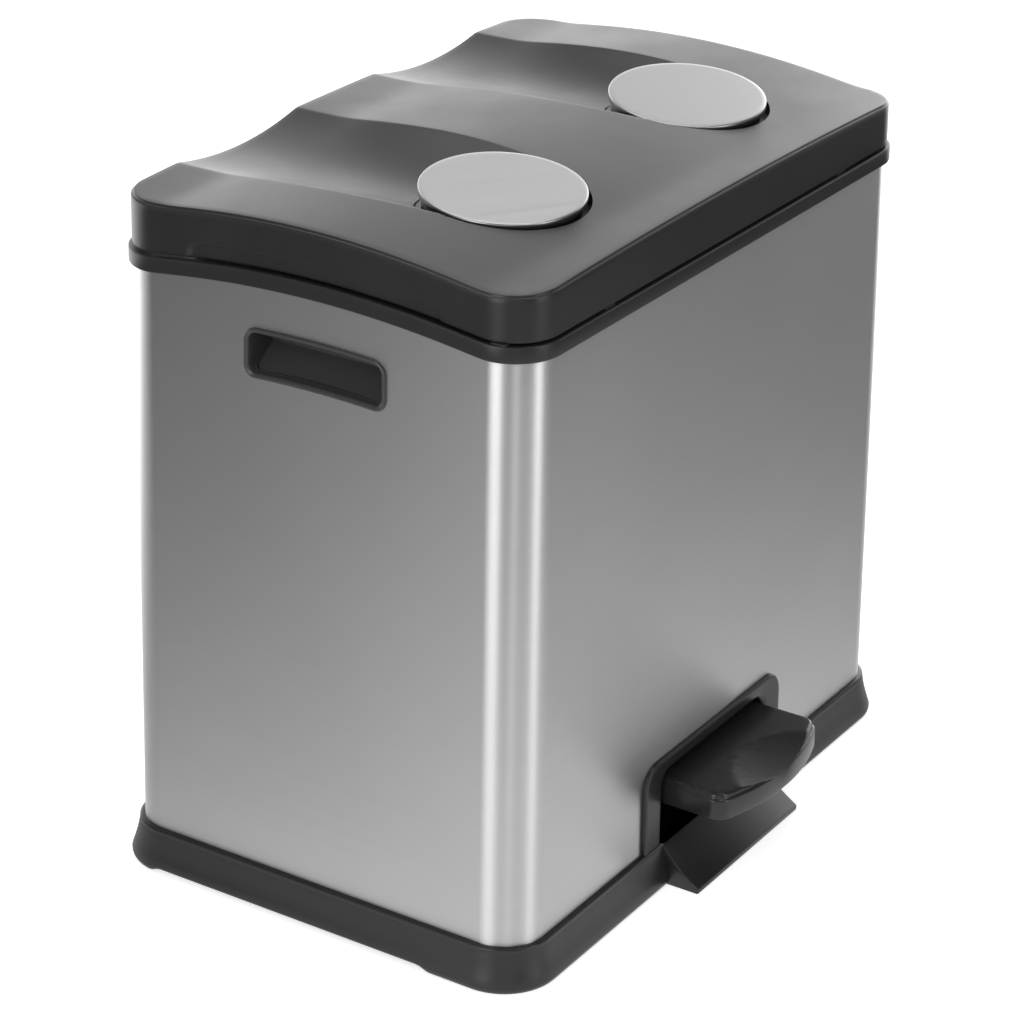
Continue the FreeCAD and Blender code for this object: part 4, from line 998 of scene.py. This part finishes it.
def pedal_rail():
    """The tread from above: a bowed front that runs smoothly into round corners."""
    bow = (PEDAL_HALF ** 2 + PEDAL_BOW ** 2) / (2 * PEDAL_BOW)
    lean = math.asin((PEDAL_HALF - PEDAL_CORNER) / (bow - PEDAL_CORNER))
    centre_y = PEDAL_FRONT + bow
    corner_x = PEDAL_HALF - PEDAL_CORNER
    corner_y = centre_y - (bow - PEDAL_CORNER) * math.cos(lean)
    points = []
    outward = []

    def arc(centre, radius, start, end, steps):
        for step in range(steps + 1):
            angle = start + (end - start) * step / steps
            normal = (math.cos(angle), math.sin(angle))
            points.append((centre[0] + radius * normal[0], centre[1] + radius * normal[1]))
            outward.append(normal)

    down = -math.pi / 2
    arc((0, centre_y), bow, down - lean, down + lean, 40)
    arc((corner_x, corner_y), PEDAL_CORNER, down + lean, 0, 12)
    for share in (0.25, 0.5, 0.75, 1):
        points.append((PEDAL_HALF, corner_y + (PEDAL_REAR - corner_y) * share))
        outward.append((1, 0))
    for share in np.linspace(0, 1, 30):
        points.append((PEDAL_HALF - 2 * PEDAL_HALF * share, PEDAL_REAR))
        outward.append((0, 0))
    for share in (0, 0.25, 0.5, 0.75):
        points.append((-PEDAL_HALF, PEDAL_REAR + (corner_y - PEDAL_REAR) * share))
        outward.append((-1, 0))
    arc((-corner_x, corner_y), PEDAL_CORNER, math.pi, 1.5 * math.pi - lean, 12)
    return Rail(points, outward)


def dish_height(x, y):
    """The round hollow at the front of the tread."""
    curve = (DISH_RADIUS ** 2 + DISH_DEPTH ** 2) / (2 * DISH_DEPTH)
    away = np.minimum(np.hypot(x, y - DISH_Y), 0.98 * curve)
    return PEDAL_TOP - DISH_DEPTH + curve - np.sqrt(curve ** 2 - away ** 2)


def dish_lip(x, y):
    """A fine raised line round the hollow, which fades out before the hollow's two ends."""
    away = (np.hypot(x, y - DISH_Y) - DISH_RADIUS) / DISH_LIP_WIDTH
    fade = smooth_step((DISH_LIP_END - np.abs(x)) / (6 * MM))
    return DISH_LIP * np.exp(-away ** 2) * fade


def make_pedal():
    rail = pedal_rail()

    def cut(level):
        return lambda x, y: (smooth_min(np.full_like(x, level), dish_height(x, y), 0.25 * MM)
                             + dish_lip(x, y))

    top = PEDAL_TOP
    profile = [(-4 * MM, top - 7 * MM), (-4 * MM, PEDAL_LOW), (-0.7 * MM, PEDAL_LOW),
               (-0.2 * MM, PEDAL_LOW + 0.2 * MM), (0, PEDAL_LOW + 0.8 * MM),
               (0, cut(top - 5.2 * MM)), (-0.15 * MM, cut(top - 4.5 * MM)),
               (-0.6 * MM, cut(top - 4.0 * MM)), (-1.3 * MM, cut(top - 3.7 * MM)),
               (-1.6 * MM, cut(top - 3.4 * MM))]
    roll = 2.6 * MM
    for step in range(0, 7):
        angle = math.pi / 2 * step / 6
        profile.append((-1.7 * MM - roll * (1 - math.cos(angle)),
                        cut(top - roll + roll * math.sin(angle))))
    rings = [ring(rail, offset, height) for offset, height in profile]
    angles = np.linspace(0, 2 * math.pi, 400)
    lines = []
    for grow in (-2.5, -1.2, -0.5, 0, 0.5, 1.2, 2.5):
        radius = DISH_RADIUS + grow * MM
        line = np.column_stack([radius * np.cos(angles), DISH_Y + radius * np.sin(angles)])
        lines.append(inside_loop(line, rings[-1][:, :2], 0.6 * MM))
    tread = skin(rings[-1][:, :2], lines, 3 * MM, cut(top))
    pedal = mesh_object("pedal_cap", [bridge(rings), tread, cap(rings[0])], sharp=50)
    place(pedal, pedal_black, "pedal", "black_plastic", "pedal_tread")


def inside_loop(line, loop, margin):
    """Keeps the points of a line that lie inside a convex anticlockwise loop."""
    after = np.roll(loop, -1, axis=0)
    edge = after - loop
    length = np.maximum(np.hypot(edge[:, 0], edge[:, 1]), 1e-9)
    kept = []
    for point in line:
        away = (edge[:, 0] * (point[1] - loop[:, 1]) - edge[:, 1] * (point[0] - loop[:, 0]))
        if (away / length).min() > margin:
            kept.append(point)
    return np.array(kept) if kept else np.zeros((0, 2))


# ---- buckets and the pieces that keep their CAD shape ----

BUCKET_CORNER = 25 * MM


def make_bucket(name):
    """A lift-out bucket: rounded tub with a rolled rim."""
    low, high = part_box(name)
    rim = 5 * MM
    wall = 2 * MM
    half_x = (high.x - low.x) / 2 - rim
    half_y = (high.y - low.y) / 2 - rim
    middle = ((low.x + high.x) / 2, (low.y + high.y) / 2)
    rail = rounded_rail(half_x, half_y, BUCKET_CORNER, 12 * MM, 14, middle)
    top = high.z
    foot = low.z
    profile = [(-8 * MM, foot), (-4 * MM, foot + 0.6 * MM), (-1.4 * MM, foot + 3 * MM),
               (-0.4 * MM, foot + 8 * MM), (0, top - 16 * MM), (0, top - 6 * MM),
               (rim - 0.8 * MM, top - 6 * MM), (rim, top - 5 * MM), (rim, top - 1.6 * MM),
               (rim - 0.5 * MM, top - 0.5 * MM), (rim - 1.6 * MM, top),
               (-wall + 1 * MM, top), (-wall, top - 1 * MM), (-wall - 0.4 * MM, foot + 9 * MM),
               (-wall - 2 * MM, foot + 4 * MM), (-wall - 7 * MM, foot + wall)]
    rings = [ring(rail, offset, height) for offset, height in profile]
    bucket = mesh_object(name + "_tub", [bridge(rings), cap(rings[0]), cap(rings[-1])],
                         sharp=50)
    body = frame["nodes"][name]["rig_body"]
    place(bucket, bucket_grey, body, "bucket_plastic", name)


def dress(name, material, slot):
    """A merged copy of a CAD node, smooth where it is round."""
    node = frame["nodes"][name]
    copy = bpy.data.objects.new(name + "_dressed", node.data.copy())
    bpy.context.scene.collection.objects.link(copy)
    tidy(copy, 2 * WELD, 32, outward=False)
    place(copy, material, node["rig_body"], slot, name)


DRESSING = {"black_plastic": black, "zinc_steel": zinc, "rubber": rubber, "nylon": nylon,
            "aluminium_tube": tube}
DRESSED = {
    "foot_pads": "rubber",
    "inner_deck": "black_plastic",
    "rod_cover": "black_plastic",
    "rod_guides": "nylon",
    "damper_cylinder": "aluminium_tube",
    "damper_strap": "black_plastic",
    "lever_brackets": "zinc_steel",
    "lever_axle": "zinc_steel",
    "hinge_brackets": "black_plastic",
    "hinge_pins": "zinc_steel",
    "hinge_screws": "zinc_steel",
    "lid_buffers": "rubber",
    "lid_crank": "zinc_steel",
    "crank_pin": "zinc_steel",
    "crank_screws": "zinc_steel",
    "pedal_lever": "zinc_steel",
    "lever_link_pin": "zinc_steel",
    "pedal_screws": "zinc_steel",
    "push_rod": "zinc_steel",
    "rod_yokes": "nylon",
    "damper_rod": "zinc_steel",
    "damper_arm": "nylon",
}

make_lid()
make_disc(-1, "disc_left")
make_disc(1, "disc_right")
make_seat(-1, "disc_seat_left")
make_seat(1, "disc_seat_right")
make_shell()
make_collar()
make_base()
make_surround()
make_handle(-1, "side_handle_left")
make_handle(1, "side_handle_right")
make_pedal()
make_bucket("bucket_left")
make_bucket("bucket_right")
for node_name, slot_name in DRESSED.items():
    dress(node_name, DRESSING[slot_name], slot_name)


# ---- studio ----

FLOOR_HALF = 12
FLOOR_GLOW = 0.62
FLOOR_BRIGHT = Vector((-0.3, -0.4, 0))
FLOOR_NEAR = 0.2
FLOOR_FAR = 1.8
FLOOR_SHEEN = [(0, 1.05), (0.125, 0.97), (0.33, 0.6), (0.45, 0.4), (0.62, 0.2), (0.78, 0.04),
               (1, 0.0)]
FLOOR_BEHIND = 2.6
BEHIND_AZIMUTH = math.radians(54)
BEHIND_SPAN = (0.5, 0.9)
SKY_LEVEL = 0.5
SKY_SHEEN = [(0, 3.0), (0.2, 2.8), (0.3, 2.2), (0.36, 1.5), (0.46, 1.0), (0.62, 0.35),
             (0.74, 0.06), (1, 0.04)]
SKY_AZIMUTH = math.radians(32)
SKY_SPAN = (0.35, 0.85)
SKY_DIM = 0.1


def grey_ramp(tree, value, stops):
    """The shade at a value between stops, given as places and shades."""
    made = tree.nodes.new("ShaderNodeValToRGB")
    tree.links.new(value, made.inputs["Fac"])
    for number, (place, shade) in enumerate(stops):
        elements = made.color_ramp.elements
        stop = elements[number] if number < 2 else elements.new(place)
        stop.position = place
        stop.color = (shade, shade, shade, 1)
    return made.outputs["Color"]


def towards(tree, vector, azimuth, rise, span, least=0):
    """Grows softly from least to 1 while a vector's share along an azimuth crosses a span."""
    aim = (math.cos(azimuth), math.sin(azimuth), rise)
    along = wired(tree, "VectorMath", vector, aim, operation="DOT_PRODUCT")["Value"]
    return wired(tree, "MapRange", along, *span, least,
                 interpolation_type="SMOOTHSTEP")["Result"]


def studio_floor():
    """A pale floor: white to the camera, with the object's soft shadow. In reflections it
    fades with distance, as a floor under one soft lamp does, and is bright behind."""
    half = FLOOR_HALF
    corners = [(-half, -half, 0), (half, -half, 0), (half, half, 0), (-half, half, 0)]
    floor = mesh_object("studio_floor", [cap(corners)])
    material = bpy.data.materials.new("pale_floor")
    material.use_nodes = True
    tree = material.node_tree
    tree.nodes.clear()
    ray = wired(tree, "LightPath")
    point = wired(tree, "TexCoord")["Object"]
    matte = wired(tree, "BsdfDiffuse", (0.8, 0.8, 0.8, 1))[0]
    seen = wired(tree, "AddShader", matte, wired(tree, "Emission", None, FLOOR_GLOW)[0])[0]
    away = wired(tree, "VectorMath", point, FLOOR_BRIGHT, operation="SUBTRACT")["Vector"]
    length = wired(tree, "VectorMath", away, operation="LENGTH")["Value"]
    reach = wired(tree, "MapRange", length, FLOOR_NEAR, FLOOR_FAR)["Result"]
    behind = towards(tree, point, BEHIND_AZIMUTH, 0, BEHIND_SPAN)
    shade = blend(tree, behind, grey_ramp(tree, reach, FLOOR_SHEEN), (*[FLOOR_BEHIND] * 3, 1))
    mirrored = wired(tree, "Emission", shade)[0]
    by_gloss = wired(tree, "MixShader", ray["Is Glossy Ray"], matte, mirrored)[0]
    by_camera = wired(tree, "MixShader", ray["Is Camera Ray"], by_gloss, seen)[0]
    wired(tree, "OutputMaterial", by_camera)
    floor.data.materials.append(material)


def studio_world():
    """White to the camera; in reflections bright near the horizon, most of all behind the
    object; a plain level for all other light."""
    world = bpy.data.worlds.new("studio")
    bpy.context.scene.world = world
    world.use_nodes = True
    tree = world.node_tree
    plain = tree.nodes["Background"]
    plain.inputs["Color"].default_value = (1, 1, 1, 1)
    plain.inputs["Strength"].default_value = SKY_LEVEL
    ray = wired(tree, "LightPath")
    direction = wired(tree, "TexCoord")["Generated"]
    climb = wired(tree, "SeparateXYZ", direction)["Z"]
    strength = towards(tree, direction, SKY_AZIMUTH, 0.2, SKY_SPAN, SKY_DIM)
    gloss = wired(tree, "Background", grey_ramp(tree, climb, SKY_SHEEN), strength)[0]
    by_gloss = wired(tree, "MixShader", ray["Is Glossy Ray"], plain.outputs[0], gloss)[0]
    straight = wired(tree, "Math", ray["Is Camera Ray"], ray["Is Transmission Ray"],
                     operation="MAXIMUM")[0]
    white = wired(tree, "Background", None, 1.0)[0]
    whole = wired(tree, "MixShader", straight, by_gloss, white)[0]
    tree.links.new(whole, tree.nodes["World Output"].inputs["Surface"])


def panel(name, azimuth, distance, height, size, power):
    """A soft box on a stand, facing the object; azimuth 0 is +X, turning towards +Y."""
    lamp = bpy.data.lights.new(name, "AREA")
    lamp.shape = "RECTANGLE"
    lamp.size = size[0]
    lamp.size_y = size[1]
    lamp.energy = power
    item = bpy.data.objects.new(name, lamp)
    bpy.context.scene.collection.objects.link(item)
    angle = math.radians(azimuth)
    item.location = (distance * math.cos(angle), distance * math.sin(angle), height)
    aim = Vector((0, MIDDLE_Y, 0.25)) - item.location
    item.rotation_euler = aim.to_track_quat("-Z", "Y").to_euler()
    item.visible_camera = False


CAMERA_PLACE = Vector((-1889.4, -1172.4, 1239.7)) * MM
CAMERA_TARGET = Vector((-18.8, 24.2, 505.9)) * MM
CAMERA_ROLL = math.radians(0.906)
CAMERA_LENS = 125.23
CAMERA_SHIFT = -0.4024


def make_camera():
    data = bpy.data.cameras.new("camera")
    data.lens = CAMERA_LENS
    data.sensor_width = 36
    data.shift_y = CAMERA_SHIFT
    data.clip_end = 100
    camera = bpy.data.objects.new("camera", data)
    bpy.context.scene.collection.objects.link(camera)
    camera.location = CAMERA_PLACE
    facing = (CAMERA_TARGET - CAMERA_PLACE).to_track_quat("-Z", "Y").to_matrix().to_4x4()
    turned = facing @ Matrix.Rotation(CAMERA_ROLL, 4, "Z")
    camera.rotation_euler = turned.to_euler()
    bpy.context.scene.camera = camera


studio_floor()
studio_world()
panel("left_panel", 178.7, 1.6, 0.6, (0.66, 1.9), 13.5)
panel("front_panel", 266.3, 1.6, 0.6, (0.5, 1.9), 9.2)
panel("near_panel", 219, 1.7, 0.75, (0.35, 1.6), 2.2)
panel("right_panel", 8, 1.8, 0.75, (0.6, 1.6), 6)
panel("top_panel", 60, 0.6, 2.0, (1.6, 1.2), 14)
panel("edge_panel", 259, 0.73, 2.05, (0.22, 0.22), 3)
make_camera()
bpy.context.scene.view_settings.view_transform = "Standard"
